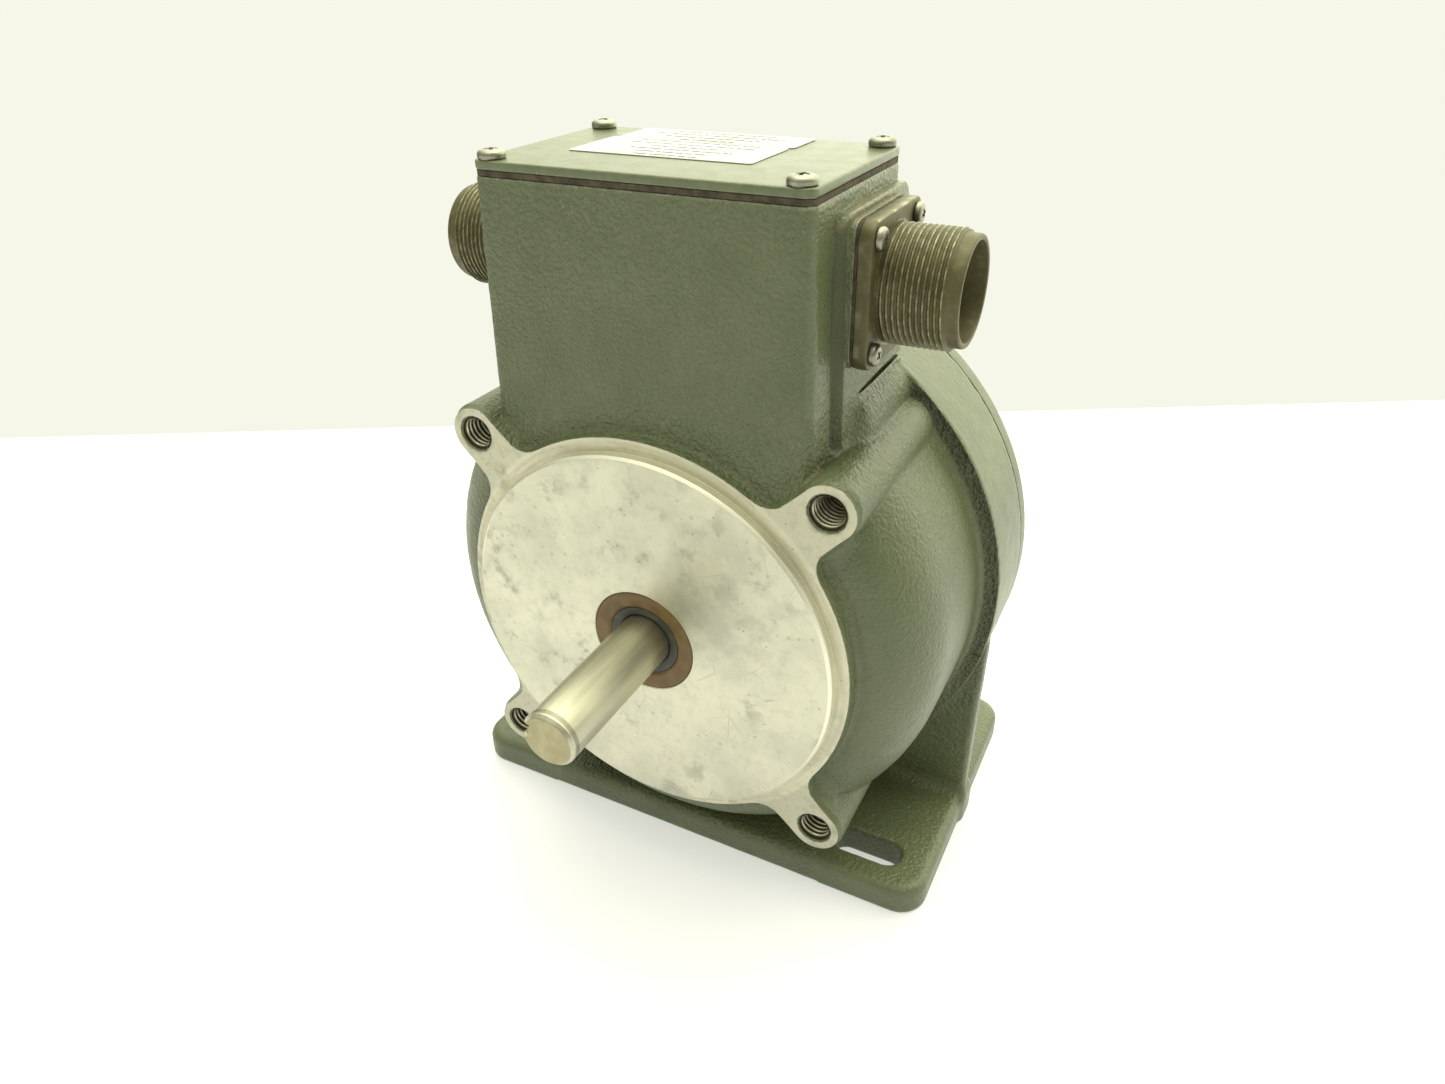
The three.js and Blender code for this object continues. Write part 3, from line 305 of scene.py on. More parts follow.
def crossings(field, grid, low, pitch, axis):
    """Grid edges along an axis that cross the surface, where they cross it, and which way."""
    ahead, behind = [slice(None)] * 3, [slice(None)] * 3
    ahead[axis], behind[axis] = slice(1, None), slice(None, -1)
    a, b = grid[tuple(behind)], grid[tuple(ahead)]
    cells = np.array(grid.shape) - 1
    edge = np.argwhere((a < 0) != (b < 0))
    others = [o for o in range(3) if o != axis]
    inner = np.all((edge[:, others] > 0) & (edge[:, others] < cells[others]), axis=1)
    edge = edge[inner & (edge[:, axis] < cells[axis])]
    da, db = a[tuple(edge.T)].astype(float), b[tuple(edge.T)].astype(float)
    flip = (da < 0) == (axis == 1)
    start = edge * pitch + low
    t_low, t_high = np.zeros(len(edge)), np.ones(len(edge))
    t = da / (da - db)
    for _ in range(3):
        point = start.copy()
        point[:, axis] += t * pitch
        value = field(point)
        same = (value < 0) == (da < 0)
        t_low, t_high = np.where(same, t, t_low), np.where(same, t_high, t)
        da, db = np.where(same, value, da), np.where(same, db, value)
        t = t_low + (t_high - t_low) * np.clip(da / np.where(da == db, 1, da - db), 0.02, 0.98)
    start[:, axis] += t * pitch
    return edge, start, flip


def contour(field, low, high, pitch):
    """Dual contouring: corners of four-sided faces on the zero surface, with sharp edges kept."""
    low = np.array(low, float)
    counts = tuple(int(math.ceil(c / pitch)) + 2 for c in np.array(high) - low)
    grid = sample(field, low, counts, pitch)
    cells = np.array(counts) - 1
    strides = np.array([cells[1] * cells[2], cells[2], 1])
    total = int(np.prod(cells))
    pairs = ((0, 0), (1, 1), (2, 2), (0, 1), (0, 2), (1, 2))
    moments, pulls, sums = np.zeros((total, 6)), np.zeros((total, 3)), np.zeros((total, 3))
    hits = np.zeros(total)
    quads = []
    for axis in range(3):
        edge, point, flip = crossings(field, grid, low, pitch, axis)
        normal = gradient(field, point)
        along = np.einsum("ij,ij->i", normal, point)
        u, v = [o for o in range(3) if o != axis]
        corners = []
        for du, dv in ((-1, -1), (0, -1), (0, 0), (-1, 0)):
            cell = edge.copy()
            cell[:, u] += du
            cell[:, v] += dv
            flat = cell @ strides
            corners.append(flat)
            for k, (i, j) in enumerate(pairs):
                moments[:, k] += np.bincount(flat, normal[:, i] * normal[:, j], total)
            for i in range(3):
                pulls[:, i] += np.bincount(flat, normal[:, i] * along, total)
                sums[:, i] += np.bincount(flat, point[:, i], total)
            hits += np.bincount(flat, minlength=total)
        quad = np.stack(corners, 1)
        quad[flip] = quad[flip][:, ::-1]
        quads.append(quad)
    used = np.flatnonzero(hits)
    number = np.zeros(total, int)
    number[used] = np.arange(len(used))
    count = hits[used]
    mean = sums[used] / count[:, None]
    matrix = np.empty((len(used), 3, 3))
    for k, (i, j) in enumerate(pairs):
        matrix[:, i, j] = matrix[:, j, i] = moments[used, k]
    pull = pulls[used] - np.einsum("nij,nj->ni", matrix, mean)
    matrix[:, range(3), range(3)] += 0.04 * count[:, None]
    found = mean + np.linalg.solve(matrix, pull[:, :, None])[:, :, 0]
    cell = np.stack(np.unravel_index(used, tuple(cells)), 1) * pitch + low
    found = np.clip(found, cell - 0.02 * pitch, cell + 1.02 * pitch)
    return found, number[np.concatenate(quads)]


# ---- meshes ----
def linked(name, data):
    """A new object in the scene."""
    piece = bpy.data.objects.new(name, data)
    bpy.context.scene.collection.objects.link(piece)
    return piece


def smooth(mesh, sharp):
    """Smooth shading; edges past the sharp angle, in degrees, stay crisp."""
    mesh.shade_smooth()
    mesh.set_sharp_from_angle(angle=math.radians(sharp))


def solid_object(name, corners, faces, sharp=32):
    """A smooth-shaded object from machine millimetres, faces turned outwards."""
    mesh = bpy.data.meshes.new(name)
    corners = np.asarray(corners, np.float64)
    mesh.from_pydata([tuple(c) for c in corners], [], [tuple(f) for f in faces])
    work = bmesh.new()
    work.from_mesh(mesh)
    bmesh.ops.remove_doubles(work, verts=work.verts, dist=1e-5)
    bmesh.ops.recalc_face_normals(work, faces=work.faces)
    work.to_mesh(mesh)
    work.free()
    mesh.transform(PLACE)
    smooth(mesh, sharp)
    return linked(name, mesh)


def grid_object(name, corners, faces, sharp):
    """A large four-sided mesh, filled in one go."""
    mesh = bpy.data.meshes.new(name)
    mesh.vertices.add(len(corners))
    mesh.vertices.foreach_set("co", corners.astype(np.float32).ravel())
    mesh.loops.add(faces.size)
    mesh.loops.foreach_set("vertex_index", faces.astype(np.int32).ravel())
    mesh.polygons.add(len(faces))
    mesh.polygons.foreach_set("loop_start", np.arange(0, faces.size, 4, dtype=np.int32))
    mesh.update(calc_edges=True)
    mesh.validate()
    mesh.transform(PLACE)
    smooth(mesh, sharp)
    return linked(name, mesh)


def corner(axis, u, v, t):
    """A corner from two places across an axis and one along it."""
    return {"X": (t, u, v), "Y": (u, t, v), "Z": (u, v, t)}[axis]


def turned(profile, axis="Y", segments=96, centre=(0.0, 0.0), ripple=None):
    """Corners and faces of a turned shape. The profile is a list of (radius, place along the axis);
    it starts and ends on the axis or closes on itself. ripple(r, t, angle) may change a radius."""
    closed = profile[0] == profile[-1]
    corners, rings = [], []
    for r, t in profile[:-1] if closed else profile:
        ring = []
        for i in range(segments if r else 1):
            angle = 2 * math.pi * i / segments
            radius = ripple(r, t, angle) if ripple else r
            u, v = centre[0] + radius * math.cos(angle), centre[1] + radius * math.sin(angle)
            ring.append(len(corners))
            corners.append(corner(axis, u, v, t))
        rings.append(ring if r else ring * segments)
    faces = []
    pairs = list(zip(rings, rings[1:])) + ([(rings[-1], rings[0])] if closed else [])
    for a, b in pairs:
        for i in range(segments):
            j = (i + 1) % segments
            face = [a[i], a[j], b[j], b[i]]
            face = [c for n, c in enumerate(face) if c not in face[:n]]
            if len(face) > 2:
                faces.append(face)
    return corners, faces


def rounded(points, radius, steps=4):
    """Replaces each inner corner of an open outline by a small arc."""
    out = [points[0]]
    for before, here, after in zip(points, points[1:], points[2:]):
        a, b, c = (Vector((*p, 0)) for p in (before, here, after))
        back, ahead = (a - b), (c - b)
        room = min(radius, back.length * 0.45, ahead.length * 0.45)
        if room < 1e-4:
            out.append(here)
            continue
        first, last = b + back.normalized() * room, b + ahead.normalized() * room
        for i in range(steps + 1):
            t = i / steps
            p = first * (1 - t) ** 2 + b * (2 * t * (1 - t)) + last * t ** 2
            out.append((p.x, p.y))
    out.append(points[-1])
    return out


def outline_points(x0, y0, x1, y1, r, steps):
    """Counter-clockwise points of a rounded rectangle."""
    points = []
    turns = ((x1 - r, y0 + r, -90), (x1 - r, y1 - r, 0), (x0 + r, y1 - r, 90), (x0 + r, y0 + r, 180))
    for cx, cy, start in turns:
        for i in range(steps + 1):
            a = math.radians(start + 90 * i / steps)
            points.append((cx + r * math.cos(a), cy + r * math.sin(a)))
    return points


def slab(outline, low, high, axis, edge, steps):
    """Corners and faces of a flat piece with rounded edges, drawn across the axis."""
    rows = []
    for end, sign in ((low, 1), (high, -1)):
        part = []
        for i in range(steps + 1):
            a = math.pi / 2 * i / steps
            part.append((end + sign * edge * (1 - math.cos(a)), edge * (1 - math.sin(a))))
        rows.extend(part[::sign])
    outline = np.array(outline)
    tangent = np.roll(outline, -1, 0) - np.roll(outline, 1, 0)
    normal = np.stack([tangent[:, 1], -tangent[:, 0]], 1)
    normal /= np.linalg.norm(normal, axis=1, keepdims=True)
    if np.sum((outline - outline.mean(axis=0)) * normal) < 0:
        normal = -normal
    corners = [corner(axis, *(p - n * inset), t) for t, inset in rows for p, n in zip(outline, normal)]
    count = len(outline)
    faces = [list(range(count)), list(range(len(corners) - count, len(corners)))]
    for start in range(0, len(corners) - count, count):
        for i in range(count):
            j = (i + 1) % count
            faces.append([start + i, start + j, start + count + j, start + count + i])
    return corners, faces


def merged(shapes):
    """Several closed shapes as one list of corners and faces."""
    corners, faces = [], []
    for some_corners, some_faces in shapes:
        start = len(corners)
        corners.extend(some_corners)
        faces.extend([[start + c for c in face] for face in some_faces])
    return corners, faces


def cut(piece, tool):
    """Cuts the tool out of the piece and bakes the result."""
    modifier = piece.modifiers.new("cut", "BOOLEAN")
    modifier.object, modifier.operation, modifier.solver = tool, "DIFFERENCE", "EXACT"
    graph = bpy.context.evaluated_depsgraph_get()
    result = bpy.data.meshes.new_from_object(piece.evaluated_get(graph))
    piece.modifiers.clear()
    old, piece.data = piece.data, result
    bpy.data.meshes.remove(old)
    bpy.data.objects.remove(tool)
    smooth(piece.data, 32)


def finish_piece(piece, slot, *nodes, body="housing", look=None):
    """Gives a piece its look, from the slot unless a look is given, and its body, and hides the CAD nodes
    that it stands in for.
    """
    piece.data.materials.clear()
    piece.data.materials.append(look or SLOT_LOOKS[slot])
    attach(piece, body)
    if nodes:
        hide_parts(*nodes)


def make_piece(name, shape, slot, *nodes, sharp=32, look=None):
    """A finished piece of the housing from its corners and faces."""
    finish_piece(solid_object(name, *shape, sharp=sharp), slot, *nodes, look=look)


# ---- materials ----
class Term:
    """One output of a node. Arithmetic on it adds maths nodes, and | takes the larger value."""

    def __init__(self, graph, socket):
        self.graph, self.socket = graph, socket

    def __add__(self, other):
        return self.graph.maths("ADD", self, other)

    def __sub__(self, other):
        return self.graph.maths("SUBTRACT", self, other)

    def __rsub__(self, other):
        return self.graph.maths("SUBTRACT", other, self)

    def __mul__(self, other):
        return self.graph.maths("MULTIPLY", self, other)

    def __or__(self, other):
        return self.graph.maths("MAXIMUM", self, other)

    def __abs__(self):
        return self.graph.maths("ABSOLUTE", self)

    def ramp(self, low, high, out_low=0.0, out_high=1.0):
        """A smooth step from out_low at low to out_high at high."""
        inputs = {"Value": self, "From Min": low, "From Max": high, "To Min": out_low, "To Max": out_high}
        return self.graph.add("MapRange", inputs, interpolation_type="SMOOTHSTEP")

    def band(self, rise, full, fade, gone):
        """1 between full and fade, 0 outside rise and gone."""
        return self.ramp(rise, full) * self.ramp(gone, fade)


class Graph:
    """Adds nodes to a shader tree."""

    def __init__(self, tree):
        self.tree = tree

    def add(self, kind, inputs, output=0, **settings):
        made = self.tree.nodes.new("ShaderNode" + kind)
        for key, value in settings.items():
            setattr(made, key, value)
        for key, value in inputs.items():
            self.feed(made.inputs[key], value)
        return Term(self, made.outputs[output])

    def feed(self, socket, value):
        if isinstance(value, Term):
            self.tree.links.new(value.socket, socket)
        elif socket.type == "RGBA":
            socket.default_value = (*value, 1.0)
        else:
            socket.default_value = value

    def maths(self, operation, a, b=0.5):
        return self.add("Math", {0: a, 1: b}, operation=operation)

    def mix(self, factor, a, b):
        """Colour a where the factor is 0, colour b where it is 1."""
        return self.add("Mix", {0: factor, 6: a, 7: b}, 2, data_type="RGBA")

    def blend(self, factor, a, b):
        """Number a where the factor is 0, number b where it is 1."""
        return self.add("Mix", {0: factor, 2: a, 3: b}, data_type="FLOAT")


class Surface(Graph):
    """A procedural material. x, y and z are machine millimetres, and so are all sizes."""

    def __init__(self, name):
        self.material = bpy.data.materials.new(name)
        self.material.use_nodes = True
        super().__init__(self.material.node_tree)
        self.place = self.add("TexCoord", {}, "Object")
        inputs = {0: self.place, 1: (1 / MM,) * 3, 2: tuple(-ORIGIN / MM)}
        machine = self.add("VectorMath", inputs, operation="MULTIPLY_ADD")
        self.x, self.y, self.z = (self.add("SeparateXYZ", {0: machine}, axis) for axis in range(3))
        self.scene_y = self.y + ORIGIN.y / MM

    def stretched(self, scale, place=None):
        return self.add("VectorMath", {0: place or self.place, 1: scale}, operation="MULTIPLY")

    def noise(self, size, detail=3.0, roughness=0.55, vector=None):
        """Clouds of about that size, between 0 and 1."""
        inputs = {"Vector": vector or self.place, "Scale": 1 / (size * MM), "Detail": detail,
                  "Roughness": roughness}
        return self.add("TexNoise", inputs, "Fac")

    def stripes(self, along, scale, detail):
        """Noise that only changes along one number."""
        inputs = {"W": along, "Scale": scale, "Detail": detail}
        return self.add("TexNoise", inputs, "Fac", noise_dimensions="1D")

    def cells(self, size, feature="F1", vector=None):
        inputs = {"Vector": vector or self.place, "Scale": 1 / (size * MM)}
        return self.add("TexVoronoi", inputs, "Distance", feature=feature)

    def scratches(self, size, turn, amount):
        """Thin straight marks along one direction: 1 on a mark, 0 elsewhere."""
        inputs = {"Vector": self.place, "Rotation": turn}
        aslant = self.add("VectorRotate", inputs, rotation_type="EULER_XYZ")
        long = self.stretched((1.0, 0.06, 1.0), aslant)
        thin = self.cells(size, "DISTANCE_TO_EDGE", long).ramp(0.0, 0.012, 1.0, 0.0)
        return thin * self.noise(size * 2.2, 2.0, vector=long).ramp(1 - amount, 1 - amount + 0.06)

    def radius(self, a, b):
        return self.maths("SQRT", a * a + b * b)

    def pointed(self):
        """0.5 on flats, more on outer edges and less in hollows."""
        return self.add("NewGeometry", {}, "Pointiness")

    def bump(self, height, depth, *below):
        """The normal of a height, over another normal if there is one."""
        inputs = {"Height": height, "Distance": depth * MM, "Strength": 1.0}
        inputs.update({"Normal": normal for normal in below})
        return self.add("Bump", inputs, "Normal")

    def layers(self, colour, *layers):
        """Lays tints over a colour. Each layer is a mask, its strength and its tint."""
        for mask, strength, tint in layers:
            colour = self.mix(mask * strength, colour, tint)
        return colour

    def finish(self, **inputs):
        shader = self.tree.nodes["Principled BSDF"]
        for key, value in inputs.items():
            self.feed(shader.inputs[key.replace("_", " ")], value)
        return self.material


PAINT_DARK, PAINT_LIGHT = (0.092, 0.110, 0.053), (0.114, 0.133, 0.066)
# The hollow tint among these colours is painted shade for the paint's hollows.
PAINT_SPECK, PAINTED_HOLLOW_SHADE, PAINT_WORN = (0.055, 0.066, 0.038), (0.040, 0.048, 0.024), (0.34, 0.37, 0.26)
DUST = (0.27, 0.225, 0.135)


def paint_parts(g, stipple, worn, shape):
    """Colour, roughness and height of old machinery enamel. The shape is 0.5 on flats, more on
    outer edges and less in hollows."""
    dirt = shape.ramp(0.485, 0.44) * g.noise(12, 4.0).ramp(0.50, 0.62)
    edge = shape.ramp(0.515, 0.57) * g.noise(2.4, 4.0).ramp(0.44, 0.58, 0.35, 1.0)
    chips = g.cells(2.0).ramp(0.16, 0.10) * g.noise(22, 3.0).ramp(0.64, 0.70)
    colour = g.layers(
        g.mix(g.noise(24, 4.0).ramp(0.3, 0.7), PAINT_DARK, PAINT_LIGHT),
        (g.noise(1.6, 3.0).ramp(0.58, 0.70), 0.28, PAINT_SPECK),
        # Painted shade: the enamel is darkened in hollows.
        (shape.ramp(0.485, 0.43), 0.35, PAINTED_HOLLOW_SHADE),
        (dirt, 0.55, DUST),
        ((edge | chips) * worn, 0.6, PAINT_WORN))
    rough = g.blend(dirt, g.blend(g.noise(5, 3.0), 0.25, 0.43), 0.8)
    pebbles = g.noise(1.05, 2.0, 0.5).ramp(0.34, 0.68)
    fine = g.cells(1.5, "SMOOTH_F1").ramp(0.08, 0.6) * 0.4 + g.noise(0.5, 2.0) * 0.35
    rolling = g.noise(6.5, 2.0) * 0.6
    return colour, rough, (pebbles + fine + rolling) * stipple


def rim_shape(g):
    """The worn outer rim of the rear cover, on the scale that paint_parts wants."""
    outer = g.radius(g.x, g.z).ramp(DRUM_R - 2.4, DRUM_R - 0.9)
    return outer * g.y.ramp(COVER_BACK - 2.4, COVER_BACK - 0.9) * 0.07 + 0.5


def paint_material(name, stipple, worn, turned_rim=False):
    g = Surface(name)
    shape = rim_shape(g) if turned_rim else g.pointed()
    colour, rough, height = paint_parts(g, stipple, worn, shape)
    return g.finish(Base_Color=colour, Roughness=rough, Normal=g.bump(height, 0.17), IOR=1.5)


def bare_parts(g):
    """Colour, roughness and height of the faced aluminium front."""
    r = g.radius(g.x, g.z)
    smear = g.noise(8, 5.0, 0.65).ramp(0.50, 0.66) * g.noise(36, 2.0).ramp(0.42, 0.60)
    cloud = g.radius(g.x - 27, g.z - 20).ramp(26, 8) * g.noise(9, 4.0, 0.6).ramp(0.38, 0.62)
    outside = r.ramp(60.0, 62.5)
    blot = g.cells(3.6).ramp(0.20, 0.13) * g.noise(15, 3.0).ramp(0.50, 0.60)
    nick = g.cells(2.9).ramp(0.095, 0.055) * g.noise(8, 3.0).ramp(0.47, 0.56)
    lines = g.scratches(9, (0.3, 0.5, 0.4), 0.45) | g.scratches(6, (1.2, 2.1, 0.9), 0.40)
    around = g.add("CombineXYZ", {0: g.maths("ARCTAN2", g.z, g.x) * 3.0, 1: r * 0.9, 2: 0.0})
    stain = r.band(56.7, 57.2, 59.8, 61.2) * g.noise(1 / MM, 4.0, 0.6, around).ramp(0.30, 0.62, 0.25, 1.0)
    colour = g.layers(
        g.mix(g.noise(20, 5.0).ramp(0.35, 0.68), (0.67, 0.655, 0.535), (0.56, 0.555, 0.46)),
        (smear, 0.65, (0.335, 0.355, 0.305)),
        (cloud, 0.5, (0.34, 0.365, 0.335)),
        (g.z.ramp(-20, 50), 0.40, (0.47, 0.465, 0.37)),
        (outside, 0.65, (0.40, 0.39, 0.30)),
        (blot, 0.42, (0.32, 0.31, 0.23)),
        (nick, 0.85, (0.20, 0.165, 0.10)),
        (lines, 0.55, (0.33, 0.30, 0.21)),
        (stain, 0.34, (0.46, 0.40, 0.25)),
        (g.noise(2.4, 5.0, 0.6).ramp(0.50, 0.62), g.blend(outside, 0.14, 0.42), (0.36, 0.345, 0.25)),
        # A painted highlight: a pale band all round the pilot chamfer.
        (r.band(56.28, 56.40, 57.22, 57.35), 0.8, (0.84, 0.83, 0.72)))
    rough = g.blend(smear | stain, g.blend(g.noise(10, 4.0), 0.34, 0.50), 0.58)
    height = g.stripes(r, 2.2, 2.0) * 0.35 + g.noise(1.2, 4.0) * 0.45
    return colour, rough, height - (nick * 1.2 + lines * 0.5)


def housing_material():
    """Painted casting, with bare metal wherever the front was machined."""
    g = Surface("cast_housing")
    away, r = abs(g.x), g.radius(g.x, g.z)
    ragged = g.y + (g.noise(1.5, 3.0) - 0.5) * 0.5
    painted = ragged.ramp(FACE_Y + 0.10, FACE_Y + 0.22)
    turned_rim = r.band(DRUM_R - 0.35, DRUM_R - 0.2, DRUM_R + 0.4, DRUM_R + 0.6) * g.y.ramp(58, 60)
    side_wall = away.ramp(44.0, 44.8) * g.z.ramp(72, 74)
    bell = g.z.ramp(68, 60) * away.ramp(47.2, 50.0)
    calm = turned_rim | side_wall * 0.7 | bell * 0.62
    # The unmachined ring in front of the drum and the slanted steps beside the pads get painted shade, as
    # they face away from the light.
    ring = g.y.ramp(59.0, 60.3) * r.ramp(80.5, 81.8) * g.z.band(-50, -5, 60, 66) * (1.0 - turned_rim)
    step = g.y.band(18.1, 18.4, 21.4, 21.7) * away.ramp(45.5, 45.8) * g.z.band(60, 62, 114.5, 115.5)
    # Dust lies on the narrow ledge over each pad.
    ledge = away.ramp(45.5, 46.4) * g.z.band(113.0, 115.5, 118.2, 119.2)
    colour, rough, height = paint_parts(g, ring * 1.4 + 1.0 - calm * 0.9, 0.8, g.pointed())
    # Painted shade on the ring and the steps; the tan on the ledges is real dust.
    colour = g.layers(colour, (ring * 0.52 | step * 0.50, 1.0, (0.030, 0.034, 0.019)),
                      (ledge, g.noise(5.0, 4.0).ramp(0.42, 0.62, 0.05, 0.45), (0.25, 0.175, 0.09)))
    rough = g.blend(step, rough, 0.72)
    metal, metal_rough, metal_height = bare_parts(g)
    bare = 1.0 - painted
    normal = g.bump(height * painted, 0.27, g.bump(metal_height * bare, 0.02))
    return g.finish(Base_Color=g.mix(painted, metal, colour), Normal=normal, IOR=1.5,
                    Roughness=g.blend(painted, metal_rough, rough), Metallic=bare)


def metal_material(name, dark, light, rough=(0.25, 0.4), spots=0.0, spot_colour=(0.2, 0.15, 0.08)):
    g = Surface(name)
    colour = g.layers(g.mix(g.noise(6, 4.0).ramp(0.3, 0.7), dark, light),
                      (g.noise(3.0, 4.0).ramp(0.58, 0.70), spots, spot_colour))
    return g.finish(Base_Color=colour, Metallic=1.0, Roughness=g.blend(g.noise(4, 3.0), *rough),
                    Normal=g.bump(g.noise(0.25, 3.0), 0.01))


def plain_material(name, dark, light, rough, grain=0.6, height=0.03, size=5):
    g = Surface(name)
    colour = g.mix(g.noise(size, 4.0).ramp(0.3, 0.7), dark, light)
    return g.finish(Base_Color=colour, Roughness=g.blend(g.noise(size * 0.7, 3.0), *rough),
                    Normal=g.bump(g.noise(grain, 3.0), height))


def shaft_material():
    """Ground steel: fine rings round the axis, a darker band near the end and a warm end face."""
    g = Surface("shaft_steel")
    inward = g.y + SHAFT_OUT
    face = inward.ramp(0.25, 0.1)
    streak = g.noise(2.2, 4.0, vector=g.stretched((1.0, 0.07, 1.0))).ramp(0.35, 0.66)
    tan = g.mix(g.noise(5.0, 4.0).ramp(0.35, 0.65), (0.35, 0.305, 0.175), (0.42, 0.385, 0.25))
    colour = g.layers(g.mix(streak, (0.47, 0.455, 0.36), (0.56, 0.545, 0.43)),
                      (inward.band(1.3, 1.6, 2.7, 3.1), 0.62, (0.16, 0.155, 0.11)),
                      (face, 0.85, tan),
                      (g.scratches(5, (0.2, 0.3, 0.1), 0.40), 0.3, (0.30, 0.29, 0.21)))
    rough = g.blend(face, g.blend(g.noise(7, 3.0), 0.36, 0.44), 0.5)
    rings = g.stripes(g.scene_y, 3.8, 3.0)
    return g.finish(Base_Color=colour, Metallic=1.0, Roughness=rough, Normal=g.bump(rings, 0.008))


def connector_material():
    """Olive cadmium plate, worn to bright metal on the thread crests and rims."""
    g = Surface("connector_plate")
    r = g.radius(g.y - PORT_Y, g.z - PORT_Z)
    crest = r.band(14.09, 14.28, 14.6, 15.0) * g.noise(1.6, 4.0, 0.65).ramp(0.40, 0.66, 0.16, 1.0)
    rim = g.pointed().ramp(0.565, 0.64) * g.noise(6.0, 3.0).ramp(0.44, 0.62, 0.2, 0.8)
    worn = crest | rim
    colour = g.mix(g.noise(5, 4.0).ramp(0.3, 0.7), (0.080, 0.073, 0.032), (0.110, 0.100, 0.045))
    colour = g.layers(colour, (g.noise(2.2, 4.0).ramp(0.50, 0.70), 0.30, (0.20, 0.175, 0.11)),
                      (worn, 0.52, (0.50, 0.47, 0.31)))
    rough = g.blend(worn, g.blend(g.noise(2, 3.0), 0.42, 0.62), 0.28)
    return g.finish(Base_Color=colour, Metallic=0.45, Roughness=rough,
                    Normal=g.bump(g.noise(0.5, 4.0), 0.02))


def thread_material():
    """Tapped aluminium of the lug holes: bright crests, painted shade in the valleys."""
    g = Surface("tapped_metal")
    r = g.radius(abs(g.x) - LUG_CENTRE, abs(g.z) - LUG_CENTRE)
    crest = r.ramp(LUG_THREAD_R - 0.25, LUG_MINOR_R + 0.1)
    metal = g.mix(g.noise(1.5, 3.0).ramp(0.35, 0.65), (0.50, 0.48, 0.36), (0.66, 0.64, 0.50))
    # The near-black valley colour is painted shade.
    return g.finish(Base_Color=g.mix(crest, (0.060, 0.055, 0.034), metal), Metallic=0.8,
                    Roughness=g.blend(crest, 0.6, 0.32), Normal=g.bump(g.noise(0.4, 3.0), 0.01))


def paper_material():
    """White label film with plain ruled lines and no lettering."""
    g = Surface("label_film")
    row = g.scene_y * (1 / RULE_PITCH)
    line = abs(g.maths("FRACT", row) - 0.5).ramp(0.19, 0.14)
    chance = g.add("TexWhiteNoise", {"W": g.maths("FLOOR", row)}, "Value", noise_dimensions="1D")
    inside = g.maths("LESS_THAN", abs(g.x + 3), chance * 12 + 8)
    broken = g.noise(1.4, 1.0, vector=g.stretched((1.0, 0.0, 0.0))).ramp(0.40, 0.46)
    colour = g.layers(g.mix(g.noise(14, 3.0).ramp(0.4, 0.7), (0.58, 0.59, 0.60), (0.54, 0.545, 0.54)),
                      (line * inside * broken, 0.75, (0.07, 0.075, 0.13)))
    return g.finish(Base_Color=colour, Roughness=g.blend(g.noise(9, 2.0), 0.72, 0.85),
                    Specular_IOR_Level=0.12, Normal=g.bump(g.noise(4, 2.0), 0.05))


LID_PAINT = paint_material("enamel_smooth", 0.12, 0.9)
HOUSING = housing_material()
THREAD_METAL = thread_material()
SHAFT_STEEL = shaft_material()
SLOT_LOOKS = {
    "paint": paint_material("enamel_cover", 0.15, 0.5, turned_rim=True),
    "steel": metal_material("ground_steel", (0.46, 0.45, 0.40), (0.62, 0.60, 0.54), spots=0.2),
    "zinc": metal_material("bright_zinc", (0.21, 0.21, 0.175), (0.33, 0.325, 0.265), (0.28, 0.46), 0.45,
                           (0.19, 0.17, 0.11)),
    "olive_plate": connector_material(),
    "gasket": plain_material("gasket_sheet", (0.030, 0.023, 0.014), (0.085, 0.062, 0.036), (0.7, 0.9),
                             0.5, 0.08, 3),
    "rubber": plain_material("black_rubber", (0.035, 0.036, 0.030), (0.062, 0.064, 0.053), (0.42, 0.6)),
    "seal_case": plain_material("seal_case_lacquer", (0.125, 0.066, 0.018), (0.165, 0.108, 0.036),
                                (0.45, 0.6), 0.5, 0.02),
    "label": paper_material(),
    "aluminium": metal_material("machined_aluminium", (0.60, 0.60, 0.56), (0.76, 0.76, 0.71), (0.28, 0.42)),
    "brass": metal_material("dull_brass", (0.42, 0.31, 0.13), (0.60, 0.46, 0.22), (0.3, 0.5), 0.3),
    "resin": plain_material("black_resin", (0.014, 0.014, 0.013), (0.030, 0.030, 0.028), (0.35, 0.5)),
    "board": plain_material("board_mask", (0.015, 0.07, 0.025), (0.03, 0.11, 0.04), (0.3, 0.4)),
    "wire": plain_material("wire_sleeve", (0.06, 0.06, 0.058), (0.11, 0.11, 0.105), (0.5, 0.65)),
}
for part in frame["record"]["subparts"]:
    node = frame["nodes"][part["node"]]
    node.data.materials.clear()
    node.data.materials.append(SLOT_LOOKS[part["material_slot"]])


# ---- housing ----
def waviness(p):
    """Slow unevenness of a sand casting, between about -1 and 1."""
    x, y, z = p[:, 0], p[:, 1], p[:, 2]
    slow = np.sin(x * 0.41 + np.sin(z * 0.23) * 2) * np.sin(z * 0.37 + y * 0.19)
    fast = np.sin(x * 1.13 + np.sin(y * 0.7) * 2) * np.sin(y * 1.29 + z * 0.3)
    slow, fast = slow * np.cos(y * 0.33 + x * 0.11), fast * np.cos(z * 1.07 + x * 0.2)
    return 0.6 * slow + 0.4 * fast


